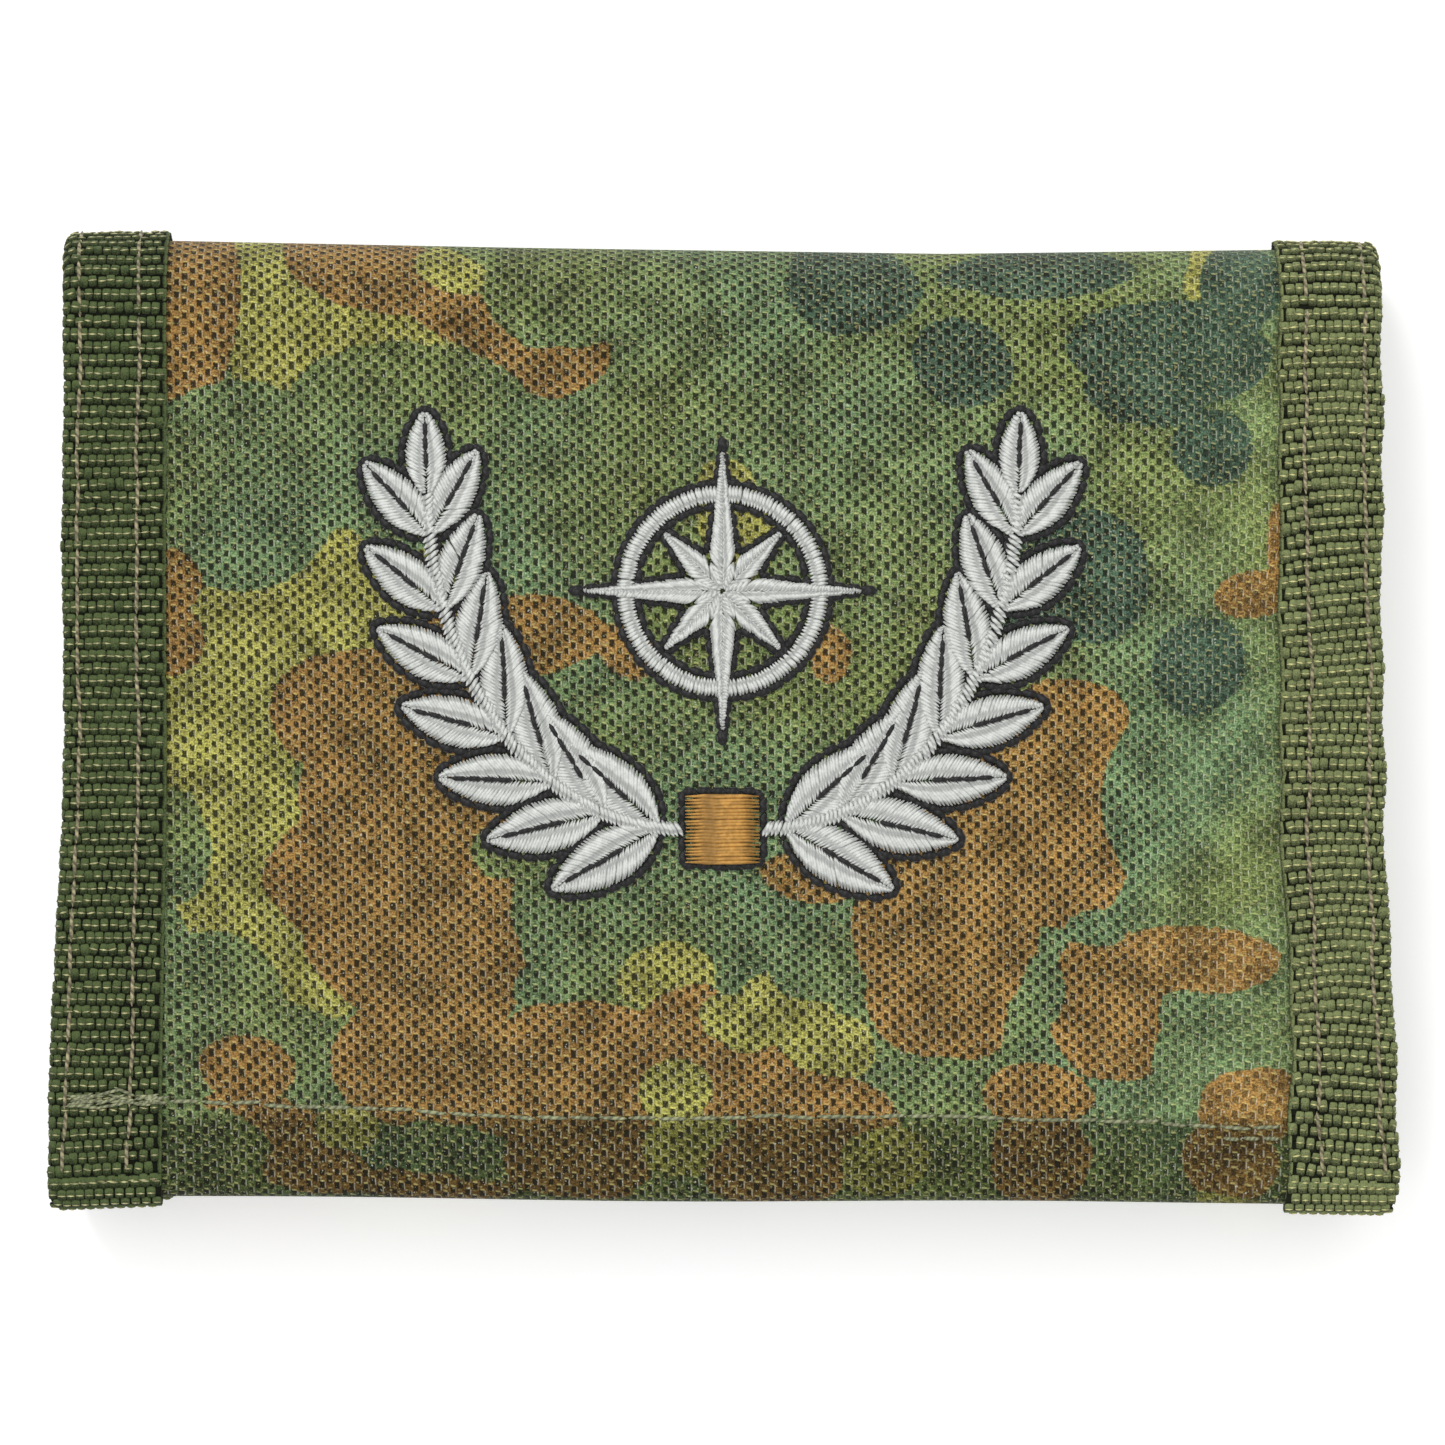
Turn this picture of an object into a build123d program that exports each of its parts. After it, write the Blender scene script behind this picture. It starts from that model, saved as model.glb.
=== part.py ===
"""Trifold wallet in printed nylon, closed by a hook-and-loop strip, lying on its back.

Frame, in millimetres: +X across the wallet, +Y towards the top fold, +Z up from the back panel
to the closing flap. The origin is the centre of the footprint, on the surface the wallet lies on.

The shell is one strip of fabric that runs flap, top fold, back, bottom fold, inner panel. Each
fold is two creases with a curved strip between them, so the strip is cut into five stretches.
Every layer that runs round the folds (shell, lining, edge tapes) is described by its depth,
counted inwards from the shell's outer face.
"""
from build123d import *
import math
import os

# ---- driving dimensions -------------------------------------------------------------------
WIDTH = 130.0               # bound edge to bound edge, at the top fold
WIDTH_AT_HEM = 133.0        # the flap flares a little towards its free end
HEIGHT = 96.0               # closed, top fold to flap end
TAPE = 0.8                  # thickness of the edge tape
TAPE_FACE = 10.0            # visible width of the folded edge tape
SHELL = 0.7                 # thickness of the coated shell fabric
LINING = 0.4                # thickness of the lining fabric
LINING_DEPTH = 2.3          # from the shell's outer face to the lining, past the note compartment
TOP_RADIUS = 8.0            # shell's outer radius round the top fold
BOTTOM_RADIUS = 4.8         # shell's outer radius round the bottom fold
HEM_RADIUS = 1.7            # shell's outer radius round a turned hem
HEM_DEPTH = 9.5             # how far a hem is turned back
INNER_END = 15.0            # Y of the inner panel's free end
OVERLAP = 0.5               # how far the flap's end reaches past the bottom fold
LAYER_GAP = 0.05            # air between sewn layers
CREASE_GAP_DEG = 1.5        # angle trimmed from each side of a crease
TUCKED = 0.1                # how much further in a layer stops so that it clears the next
INSIDE_LEG = 0.65           # thickness of a tape's leg on the inside of the wallet

# ---- places worked out from them ------------------------------------------------------------
FACE_Z = TAPE                                   # back panel's outer face
TOP_Y = HEIGHT / 2 - TAPE - TOP_RADIUS          # centre of the top fold
TOP_Z = FACE_Z + TOP_RADIUS
BOTTOM_Y = -HEIGHT / 2 + OVERLAP + TAPE + BOTTOM_RADIUS
BOTTOM_Z = FACE_Z + BOTTOM_RADIUS
FLAP_Z = TOP_Z + TOP_RADIUS                     # flap's outer face
INNER_Z = BOTTOM_Z + BOTTOM_RADIUS              # inner panel's outer face
FLAP_HEM_Y = -HEIGHT / 2 + TAPE + HEM_RADIUS    # centre of the flap's turned hem
INNER_HEM_Y = INNER_END - TAPE - HEM_RADIUS     # centre of the inner panel's turned hem
LINING_IN = LINING_DEPTH + LINING               # depth of the lining's inner face
HALF = WIDTH / 2
WALL_X = HALF - TAPE - LAYER_GAP                # where fabric stops inside the folded tape
FAR = 90.0                                      # half length of an untrimmed extrusion

# ---- zip of the coin pocket -------------------------------------------------------------------
POCKET_HALF_X = 52.0
POCKET_LOW_Y = -37.0
POCKET_HIGH_Y = 37.0
POCKET_TOP_Z = 5.9
POCKET_CLOTH = 0.5
ZIP_Y = 27.0                # centre line of the zip
ZIP_WINDOW = 5.0            # half height of the window the zip shows in
ZIP_HALF_X = 50.0
ZIP_TAPE_Z = 4.9
ZIP_TAPE = 0.4
ZIP_TAPE_IN = 0.45          # centre line to the near edge of one zip tape
ZIP_TAPE_REACH = 9.5        # centre line to the far edge of one zip tape
COIL_Z = ZIP_TAPE_Z + ZIP_TAPE + LAYER_GAP
COIL_HEIGHT = 1.25
COIL_IN = 0.55              # centre line to the near side of a coil
COIL_ROOT = 1.5             # centre line to the foot of a tooth
COIL_OUT = 2.4
COIL_PITCH = 1.3
COIL_END = 3.0              # from the end of the zip tapes to the end of the coils
TOOTH = (0.2, 0.75, 0.95)   # where a tooth's tip starts, its tip ends and its foot ends, in one pitch
STOP_IN = 1.4               # from the end of the zip tapes to a stop's middle
STOP_HALF_X = 1.0
STOP_HALF_Y = 2.2
STOP_ROUND = 0.5
SLIDER_X = -43.0            # slider's place with the zip shut
SLIDER_LENGTH = 8.0
SLIDER_HALF_Y = 3.6
SLIDER_PLATE = 0.6
SLIDER_CLEAR = 0.15         # between the slider and what it slides on
SLIDER_ROUND = 1.4
SLIDER_FLANGE = 0.7
SLIDER_NOSE = (0.3, 1.9)    # from the slider's end, along X
SLIDER_NOSE_HALF = 0.35
SLIDER_FLANGE_END = 1.5     # from the slider's end to a flange's end
SLIDER_TOP_Z = COIL_Z + COIL_HEIGHT + SLIDER_CLEAR + SLIDER_PLATE
BRIDGE_HALF_X = 2.6
BRIDGE_HALF_Y = 0.6
BRIDGE_LEG = 0.9
BRIDGE_ROUND = 1.0
PULL_Z = SLIDER_TOP_Z + 0.65
BRIDGE_UNDER = PULL_Z + 0.6
BRIDGE_TOP = PULL_Z + 1.25
PULL_LENGTH = 15.0
PULL_BAR_R = 0.4
PULL_BAR = 3.6
PULL_TAB_X = SLIDER_X + 4.2
PULL_TAB_HALF = 2.2
PULL_TAB_ROUND = 1.6
PULL_HOLE_R = 1.0
PULL_HOLE_BACK = 3.2        # hole's centre to the tab's end
PULL_ARM = (1.0, 1.8)       # near and far side of an arm, from the centre line

# ---- pockets, window and closure ----------------------------------------------------------------
CARD_TOPS = (4.0, -8.0, -20.0)  # top edges of the rear, middle and front card pockets
CARD_FOOT = 3.0             # from the bottom fold's centre to the pockets' foot
CARD_INSET = 0.5            # card pockets stop this far inside the tapes
WINDOW = (-49.0, 49.0, -24.0, 33.0)     # left, right, low and high edges of the clear sheet
WINDOW_DOWN = 0.15          # from the lining to the clear sheet
WINDOW_SHEET = 0.3
TRIM = (-52.0, 52.0, -26.0, 35.0)
TRIM_RIBBON = 5.0
TRIM_DOWN = 0.5             # from the lining to the ribbon
TRIM_CLOTH = 0.4
HOOK_Y = (-45.0, -29.0)
HOOK_DEEP = 1.3
LOOP_Y = (-41.5, -25.5)
LOOP_DEEP = 1.25

# ---- embroidered motif ------------------------------------------------------------------------
MOTIF_Y = 8.0               # centre of the motif on the flap
MOTIF_HEIGHT = 0.5
BORDER = 1.0                # dark border round the pale thread
BORDER_HEIGHT = 0.2
LEAVES = 7                  # pairs of leaves on each sprig
LEAF_LENGTH = 12.5
LEAF_WIDTH = 5.4
LEAF_SHORTER = 3.0          # how much shorter and narrower the leaves are at the tip than at the foot
LEAF_NARROWER = 1.2
LEAF_START = 0.35           # place of the first pair, as a share of the step between pairs
LEAF_BELLY = 0.45           # widest place of a leaf, as a share of its length
TIP_LEAF_AT = 0.98          # share of the stem where the last leaf grows
TIP_LEAF_SHORTER = 4.0
TIP_LEAF_NARROWER = 1.4
LEAF_SPREAD = 36.0          # angle between a leaf and the stem
STEM_FOOT_X = 4.3           # the stem's foot, from the motif's centre
STEM_FOOT_Y = -18.5
STEM_STEPS = 8
STEM_RUN = 25.0
STEM_RISE = 34.0
STEM_WIDTH = 1.4
STAR_Y = 5.0
STAR_LONG = 14.0
STAR_SHORT = 8.5
STAR_NOTCH = 3.4
STAR_RING = 9.6
STAR_RING_HALF = 0.7
STAR_GROW = 2.2             # how much further the border reaches at a point than at a notch
EMBROIDERY_GAP = 0.02       # air between the dark border and the thread on it
BAND_WIDTH = 7.2
BAND_HEIGHT = 6.6


def wedge(y, z, r0, r1, a0, a1):
    """Ring sector about (y, z), from angle a0 to a1, drawn with x and y standing for Y and Z."""
    mid = (a0 + a1) / 2

    def at(r, a):
        return (y + r * math.cos(math.radians(a)), z + r * math.sin(math.radians(a)))

    outer = ThreePointArc(at(r1, a0), at(r1, mid), at(r1, a1))
    inner = ThreePointArc(at(r0, a1), at(r0, mid), at(r0, a0))
    edges = [outer, Line(at(r1, a1), at(r0, a1)), inner, Line(at(r0, a0), at(r1, a0))]
    return make_face(Wire(edges))


def flat(y0, y1, z0, z1):
    """Rectangle in the YZ plane."""
    return Pos((y0 + y1) / 2, (z0 + z1) / 2) * Rectangle(abs(y1 - y0), abs(z1 - z0))


def across(faces):
    """Faces drawn with their x and y standing for Y and Z, joined and run along X."""
    joined = faces[0]
    for face in faces[1:]:
        joined += face
    solid = extrude(joined, FAR, both=True, dir=(0, 0, 1))
    return Plane.YZ * solid


def plan(y0, y1, low, high, z0=-5.0, z1=30.0):
    """Upright prism over a four-sided plan: low and high are its (left x, right x) at y0 and y1."""
    corners = [(low[0], y0), (low[1], y0), (high[1], y1), (high[0], y1)]
    return Pos(0, 0, z0) * extrude(make_face(Polyline(*corners, close=True)), z1 - z0, dir=(0, 0, 1))


def block(x0, x1, y0, y1, z0, z1):
    """Box from its lowest to its highest corner."""
    centre = Pos((x0 + x1) / 2, (y0 + y1) / 2, (z0 + z1) / 2)
    return centre * Box(abs(x1 - x0), abs(y1 - y0), abs(z1 - z0))


def hem_faces(y, z_face, side, d0, d1):
    """Layer d0 to d1 deep, carried round a turned hem. side is -1 for the flap, +1 for the inner panel."""
    z = z_face - HEM_RADIUS
    r0, r1 = HEM_RADIUS - d1, HEM_RADIUS - d0
    turn = wedge(y, z, r0, r1, 90, 270) if side < 0 else wedge(y, z, r0, r1, -90, 90)
    back_edge = y - side * (HEM_DEPTH - HEM_RADIUS)
    return [turn, flat(y, back_edge, z - r1, z - r0)]


def stretch(name, d0, d1, hem=False, trim=0.0):
    """YZ faces of the layer between depths d0 and d1 on one of the five stretches of the shell."""
    g = CREASE_GAP_DEG
    top = (TOP_Y, TOP_Z, TOP_RADIUS - d1, TOP_RADIUS - d0)
    bottom = (BOTTOM_Y, BOTTOM_Z, BOTTOM_RADIUS - d1, BOTTOM_RADIUS - d0)
    if name == "back":
        return [flat(BOTTOM_Y, TOP_Y, FACE_Z + d0, FACE_Z + d1),
                wedge(*top, -90, -45 - g), wedge(*bottom, -135 + g, -90)]
    if name == "top_fold":
        return [wedge(*top, -45 + g, 45 - g)]
    if name == "bottom_fold":
        return [wedge(*bottom, 135 + g, 225 - g)]
    if name == "flap":
        faces = [wedge(*top, 45 + g, 90), flat(FLAP_HEM_Y + trim, TOP_Y, FLAP_Z - d1, FLAP_Z - d0)]
        return faces + (hem_faces(FLAP_HEM_Y, FLAP_Z, -1, d0, d1) if hem else [])
    faces = [wedge(*bottom, 90, 135 - g), flat(BOTTOM_Y, INNER_HEM_Y - trim, INNER_Z - d1, INNER_Z - d0)]
    return faces + (hem_faces(INNER_HEM_Y, INNER_Z, 1, d0, d1) if hem else [])


def half_width(name, y):
    """Half the width of a stretch at y: only the flap flares."""
    if name != "flap" or y >= TOP_Y:
        return HALF
    share = (TOP_Y - y) / (TOP_Y + HEIGHT / 2)
    return HALF + share * (WIDTH_AT_HEM - WIDTH) / 2


def strip_plan(name, inset0, inset1, side):
    """Plan of the strip between two insets from one bound edge. side is -1 left, +1 right, 0 both."""
    parts = []
    for y0, y1 in [(-HEIGHT, TOP_Y), (TOP_Y, HEIGHT)] if name == "flap" else [(-HEIGHT, HEIGHT)]:
        low, high = half_width(name, y0), half_width(name, y1)
        if side == 0:
            ends = ((-low + inset0, low - inset0), (-high + inset0, high - inset0))
        elif side > 0:
            ends = ((low - inset1, low - inset0), (high - inset1, high - inset0))
        else:
            ends = ((-low + inset0, -low + inset1), (-high + inset0, -high + inset1))
        parts.append(plan(y0, y1, *ends))
    return parts


def cut_to(faces, plans):
    """The layer drawn by faces, trimmed to the plans."""
    body = across(faces)
    pieces = [body & p for p in plans]
    whole = pieces[0]
    for piece in pieces[1:]:
        whole += piece
    return whole


def cloth(name, d0, d1, hem=False, trim=0.0, inset=0.0):
    """A layer of fabric over the whole width of a stretch, held inside the edge tapes."""
    return cut_to(stretch(name, d0, d1, hem, trim), strip_plan(name, TAPE + LAYER_GAP + inset, 0, 0))


def folded_tape(name, side, d_out, d_in, legs, hem, trim=0.0):
    """Edge tape folded over one bound edge, from depth d_out to d_in. legs are the thicknesses of its
    outer and inner leg, and trim is how far both stop short of a hem's turn."""
    plans = strip_plan(name, 0, TAPE_FACE, side)
    inner_trim = HEM_DEPTH - HEM_RADIUS + LAYER_GAP if hem and side > 0 else trim
    tape = cut_to(stretch(name, d_out, d_out + legs[0], hem, trim), plans)
    tape += cut_to(stretch(name, d_in - legs[1], d_in, False, inner_trim), plans)
    tape += cut_to(stretch(name, d_out, d_in, False, trim), strip_plan(name, 0, TAPE, side))
    if hem and side > 0:
        y, z_face, turn = (FLAP_HEM_Y, FLAP_Z, -1) if name == "flap" else (INNER_HEM_Y, INNER_Z, 1)
        z, r = z_face - HEM_RADIUS, HEM_RADIUS - d_out
        cap = [Pos(y, z) * Circle(r), flat(y, y - turn * (HEM_DEPTH - HEM_RADIUS), z - r, z)]
        tape += cut_to(cap, strip_plan(name, 0, TAPE, side))
    return tape


def has_hem(name):
    return name in ("flap", "inner")


def shell(name):
    return cloth(name, 0, SHELL, has_hem(name))


def lining(name):
    """The lining stops inside the turn of a hem."""
    return cloth(name, LINING_DEPTH, LINING_IN, inset=TUCKED)


def right_tape(name):
    """Binds shell and lining together."""
    leg = TAPE - LAYER_GAP
    return folded_tape(name, 1, -TAPE, LINING_IN + TAPE, (leg, leg), has_hem(name))


def left_tape(name):
    """Binds the shell alone, because the note compartment opens on this side."""
    legs = (TAPE - LAYER_GAP, INSIDE_LEG)
    return folded_tape(name, -1, -TAPE, SHELL + TAPE - TUCKED, legs, has_hem(name))


def lining_tape(name):
    """Binds the lining's own edge on the open side of the note compartment."""
    trim = HEM_DEPTH - HEM_RADIUS + LAYER_GAP if has_hem(name) else 0.0
    reach = LAYER_GAP + INSIDE_LEG
    legs = (INSIDE_LEG, INSIDE_LEG)
    return folded_tape(name, -1, LINING_DEPTH - reach, LINING_IN + reach, legs, False, trim)


def pocket_tray(y0, y1, open_side):
    """Pocket cloth standing off the lining: a face with turned-down sides, open towards the zip."""
    floor_z = FACE_Z + LINING_IN + LAYER_GAP
    outer = block(-POCKET_HALF_X, POCKET_HALF_X, y0, y1, floor_z, POCKET_TOP_Z)
    in0 = y0 - 1 if open_side < 0 else y0 + POCKET_CLOTH
    in1 = y1 + 1 if open_side > 0 else y1 - POCKET_CLOTH
    reach = POCKET_HALF_X - POCKET_CLOTH
    return outer - block(-reach, reach, in0, in1, floor_z - 1, POCKET_TOP_Z - POCKET_CLOTH)


def zip_tape(side):
    y0, y1 = ZIP_Y + side * ZIP_TAPE_IN, ZIP_Y + side * ZIP_TAPE_REACH
    return block(-ZIP_HALF_X, ZIP_HALF_X, min(y0, y1), max(y0, y1), ZIP_TAPE_Z, ZIP_TAPE_Z + ZIP_TAPE)


def zip_coil(side):
    """One side of the chain: a core with a tooth at every pitch."""
    reach = ZIP_HALF_X - COIL_END
    count = int(2 * reach / COIL_PITCH)
    start = -count * COIL_PITCH / 2
    points = [(start, ZIP_Y + side * COIL_OUT)]
    for i in range(count):
        x = start + i * COIL_PITCH
        root, tip = ZIP_Y + side * COIL_ROOT, ZIP_Y + side * COIL_IN
        points += [(x, root), (x + TOOTH[0], tip), (x + TOOTH[1], tip), (x + TOOTH[2], root)]
    points.append((start + count * COIL_PITCH, ZIP_Y + side * COIL_OUT))
    face = make_face(Polyline(*points, close=True))
    return Pos(0, 0, COIL_Z) * extrude(face, COIL_HEIGHT, dir=(0, 0, 1))


def zip_stop(x):
    """Crimped stop across the chain's end."""
    y0, y1 = ZIP_Y - STOP_HALF_Y, ZIP_Y + STOP_HALF_Y
    stop = block(x - STOP_HALF_X, x + STOP_HALF_X, y0, y1, COIL_Z, COIL_Z + COIL_HEIGHT)
    return fillet(stop.edges().filter_by(Axis.Z), STOP_ROUND)


def zip_slider():
    """Two plates joined by a nose between the coils, with side flanges and a bridge for the pull."""
    x0, x1 = SLIDER_X - SLIDER_LENGTH / 2, SLIDER_X + SLIDER_LENGTH / 2
    y0, y1 = ZIP_Y - SLIDER_HALF_Y, ZIP_Y + SLIDER_HALF_Y
    low_z = ZIP_TAPE_Z - SLIDER_CLEAR - SLIDER_PLATE
    top_plate = block(x0, x1, y0, y1, SLIDER_TOP_Z - SLIDER_PLATE, SLIDER_TOP_Z)
    low_plate = block(x0, x1, y0, y1, low_z, low_z + SLIDER_PLATE)
    body = slider_nose(x0, low_z)
    for plate in (top_plate, low_plate):
        body += fillet(plate.edges().filter_by(Axis.Z), SLIDER_ROUND)
    for side in (-1, 1):
        ya, yb = ZIP_Y + side * (SLIDER_HALF_Y - SLIDER_FLANGE), ZIP_Y + side * SLIDER_HALF_Y
        ends = x0 + SLIDER_FLANGE_END, x1 - SLIDER_FLANGE_END
        body += block(*ends, min(ya, yb), max(ya, yb), COIL_Z + SLIDER_CLEAR, SLIDER_TOP_Z)
    return body + slider_bridge()


def slider_nose(x0, low_z):
    """Wedge between the coils that parts them."""
    y0, y1 = ZIP_Y - SLIDER_NOSE_HALF, ZIP_Y + SLIDER_NOSE_HALF
    return block(x0 + SLIDER_NOSE[0], x0 + SLIDER_NOSE[1], y0, y1, low_z, SLIDER_TOP_Z)


def slider_bridge():
    """Loop on the slider that the pull's bar turns under."""
    y0, y1 = ZIP_Y - BRIDGE_HALF_Y, ZIP_Y + BRIDGE_HALF_Y
    bridge = block(SLIDER_X - BRIDGE_HALF_X, SLIDER_X + BRIDGE_HALF_X, y0, y1, SLIDER_TOP_Z, BRIDGE_TOP)
    bridge = fillet(bridge.edges().filter_by(Axis.Y).group_by(Axis.Z)[-1], BRIDGE_ROUND)
    half = BRIDGE_HALF_X - BRIDGE_LEG
    return bridge - block(SLIDER_X - half, SLIDER_X + half, y0 - 1, y1 + 1, SLIDER_TOP_Z, BRIDGE_UNDER)


def zip_pull():
    """Tab with two arms and a bar that runs under the slider's bridge."""
    z0, z1 = PULL_Z - PULL_BAR_R, PULL_Z + PULL_BAR_R
    pull = Pos(SLIDER_X, ZIP_Y, PULL_Z) * Rot(90, 0, 0) * Cylinder(PULL_BAR_R, PULL_BAR)
    y0, y1 = ZIP_Y - PULL_TAB_HALF, ZIP_Y + PULL_TAB_HALF
    tab = block(PULL_TAB_X, SLIDER_X + PULL_LENGTH, y0, y1, z0, z1)
    tab = fillet(tab.edges().filter_by(Axis.Z).group_by(Axis.X)[-1], PULL_TAB_ROUND)
    hole_x = SLIDER_X + PULL_LENGTH - PULL_HOLE_BACK
    pull += tab - Pos(hole_x, ZIP_Y, PULL_Z) * Cylinder(PULL_HOLE_R, PULL_LENGTH)
    for side in (-1, 1):
        y0, y1 = sorted(ZIP_Y + side * reach for reach in PULL_ARM)
        pull += block(SLIDER_X, PULL_TAB_X, y0, y1, z0, z1)
    return pull


def card_pocket(level):
    """Flat pocket on the inner panel's lining. Level 0 lies on the lining."""
    half = HALF - TAPE_FACE - CARD_INSET
    z1 = INNER_Z - LINING_IN - TUCKED - level * (LINING + LAYER_GAP)
    return block(-half, half, BOTTOM_Y + CARD_FOOT, CARD_TOPS[level], z1 - LINING, z1)


def id_window():
    """Clear sheet over the flap's lining."""
    z1 = FLAP_Z - LINING_IN - WINDOW_DOWN
    return block(*WINDOW, z1 - WINDOW_SHEET, z1)


def id_window_trim():
    """Ribbon that holds three sides of the clear sheet; the fourth side, on the right, is open."""
    z1 = FLAP_Z - LINING_IN - TRIM_DOWN
    x0, x1, y0, y1 = TRIM
    opening = (x0 + TRIM_RIBBON, x1 + 1, y0 + TRIM_RIBBON, y1 - TRIM_RIBBON)
    return block(*TRIM, z1 - TRIM_CLOTH, z1) - block(*opening, z1 - 1, z1 + 1)


def hook_strip():
    z1 = FLAP_Z - 2 * HEM_RADIUS - LAYER_GAP
    return block(-POCKET_HALF_X, POCKET_HALF_X, *HOOK_Y, z1 - HOOK_DEEP, z1)


def loop_strip():
    z0 = INNER_Z + LAYER_GAP
    return block(-POCKET_HALF_X, POCKET_HALF_X, *LOOP_Y, z0, z0 + LOOP_DEEP)


def leaf(angle, length, width, grow):
    """Pointed leaf outline with its base at the origin, grown by a border on every side."""
    near, far, half = -grow, length + grow, width / 2 + grow
    mid = near + (far - near) * LEAF_BELLY
    upper = ThreePointArc((near, 0), (mid, half), (far, 0))
    lower = ThreePointArc((far, 0), (mid, -half), (near, 0))
    return Rot(0, 0, angle) * make_face(Wire([upper, lower]))


def stem_point(share):
    """Point and direction of the sprig's stem, a quarter ellipse from its foot to its tip."""
    t = share * math.pi / 2
    x = STEM_FOOT_X + STEM_RUN * math.sin(t)
    y = STEM_FOOT_Y + STEM_RISE * (1 - math.cos(t))
    turn = math.degrees(math.atan2(STEM_RISE * math.sin(t), STEM_RUN * math.cos(t)))
    return x, y, turn


def raised(face, grow):
    """Embroidery is two layers: the dark border lies on the flap, the thread lies on the border."""
    low = FLAP_Z + LAYER_GAP + (0 if grow else BORDER_HEIGHT + EMBROIDERY_GAP)
    height = BORDER_HEIGHT if grow else MOTIF_HEIGHT
    return Pos(0, MOTIF_Y, low) * extrude(face, height, dir=(0, 0, 1))


def sprig_face(side, grow):
    """Laurel sprig that curves outwards and up from the motif's foot: a stem with paired leaves."""
    face = None
    for i in range(LEAVES):
        share = (i + LEAF_START) / LEAVES
        x, y, turn = stem_point(share)
        length, width = LEAF_LENGTH - LEAF_SHORTER * share, LEAF_WIDTH - LEAF_NARROWER * share
        for spread in (LEAF_SPREAD, -LEAF_SPREAD):
            blade = leaf(turn + spread, length, width, grow)
            face = Pos(x, y) * blade if face is None else face + Pos(x, y) * blade
    x, y, turn = stem_point(TIP_LEAF_AT)
    face += Pos(x, y) * leaf(turn, LEAF_LENGTH - TIP_LEAF_SHORTER, LEAF_WIDTH - TIP_LEAF_NARROWER, grow)
    face += stem_face(STEM_WIDTH / 2 + grow)
    return face if side > 0 else mirror(face, about=Plane.YZ)


def stem_face(half):
    """Ribbon along the stem, half wide to each side."""
    left, right = [], []
    for i in range(STEM_STEPS + 1):
        x, y, turn = stem_point(i / STEM_STEPS)
        dx, dy = half * math.sin(math.radians(turn)), half * math.cos(math.radians(turn))
        left.append((x - dx, y + dy))
        right.insert(0, (x + dx, y - dy))
    return make_face(Polyline(*left, *right, close=True))


def star_face(grow):
    """Eight-pointed compass star on a ring."""
    points = []
    for i in range(16):
        r = STAR_NOTCH if i % 2 else (STAR_LONG if i % 4 == 0 else STAR_SHORT)
        a = math.radians(90 + i * 22.5)
        r += grow * (1.0 if i % 2 else STAR_GROW)
        points.append((r * math.cos(a), r * math.sin(a)))
    ring = Circle(STAR_RING + STAR_RING_HALF + grow) - Circle(STAR_RING - STAR_RING_HALF - grow)
    return Pos(0, STAR_Y) * (make_face(Polyline(*points, close=True)) + ring)


def band_face(grow):
    """Band that ties the sprigs together at their feet."""
    return Pos(0, STEM_FOOT_Y) * Rectangle(BAND_WIDTH + 2 * grow, BAND_HEIGHT + 2 * grow)


def build():
    """Every node of the wallet by name."""
    nodes = {}
    for name in ("back", "top_fold", "flap", "bottom_fold", "inner"):
        nodes[f"shell_{name}"] = shell(name)
        nodes[f"lining_{name}"] = lining(name)
        nodes[f"edge_tape_right_{name}"] = right_tape(name)
        nodes[f"edge_tape_left_{name}"] = left_tape(name)
        nodes[f"lining_tape_{name}"] = lining_tape(name)
    nodes["coin_pocket_front"] = pocket_tray(POCKET_LOW_Y, ZIP_Y - ZIP_WINDOW, 1)
    nodes["coin_pocket_top_strip"] = pocket_tray(ZIP_Y + ZIP_WINDOW, POCKET_HIGH_Y, -1)
    for side, row, end in ((-1, "lower", "left"), (1, "upper", "right")):
        nodes[f"zip_tape_{row}"] = zip_tape(side)
        nodes[f"zip_coil_{row}"] = zip_coil(side)
        nodes[f"zip_stop_{end}"] = zip_stop(side * (ZIP_HALF_X - STOP_IN))
    nodes["zip_slider"] = zip_slider()
    nodes["zip_pull"] = zip_pull()
    for level, row in enumerate(("rear", "middle", "front")):
        nodes[f"card_pocket_{row}"] = card_pocket(level)
    nodes["id_window"] = id_window()
    nodes["id_window_trim"] = id_window_trim()
    nodes["hook_strip"] = hook_strip()
    nodes["loop_strip"] = loop_strip()
    for side, label in ((-1, "left"), (1, "right")):
        nodes[f"motif_sprig_{label}"] = raised(sprig_face(side, 0), 0)
    nodes["motif_star"] = raised(star_face(0), 0)
    nodes["motif_band"] = raised(band_face(0), 0)
    sprigs = sprig_face(-1, BORDER) + sprig_face(1, BORDER) + band_face(BORDER)
    nodes["motif_border_sprigs"] = raised(sprigs, BORDER)
    nodes["motif_border_star"] = raised(star_face(BORDER), BORDER)
    return nodes


os.makedirs("parts", exist_ok=True)
for node, shape in build().items():
    export_step(shape, f"parts/{node}.step")
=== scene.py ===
"""Trifold wallet in printed nylon: cloth, ribbed edge tape, stitching and embroidery on the fixed frame."""
import math

import bmesh
import bpy
import numpy as np
from mathutils import Matrix, Vector


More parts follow.
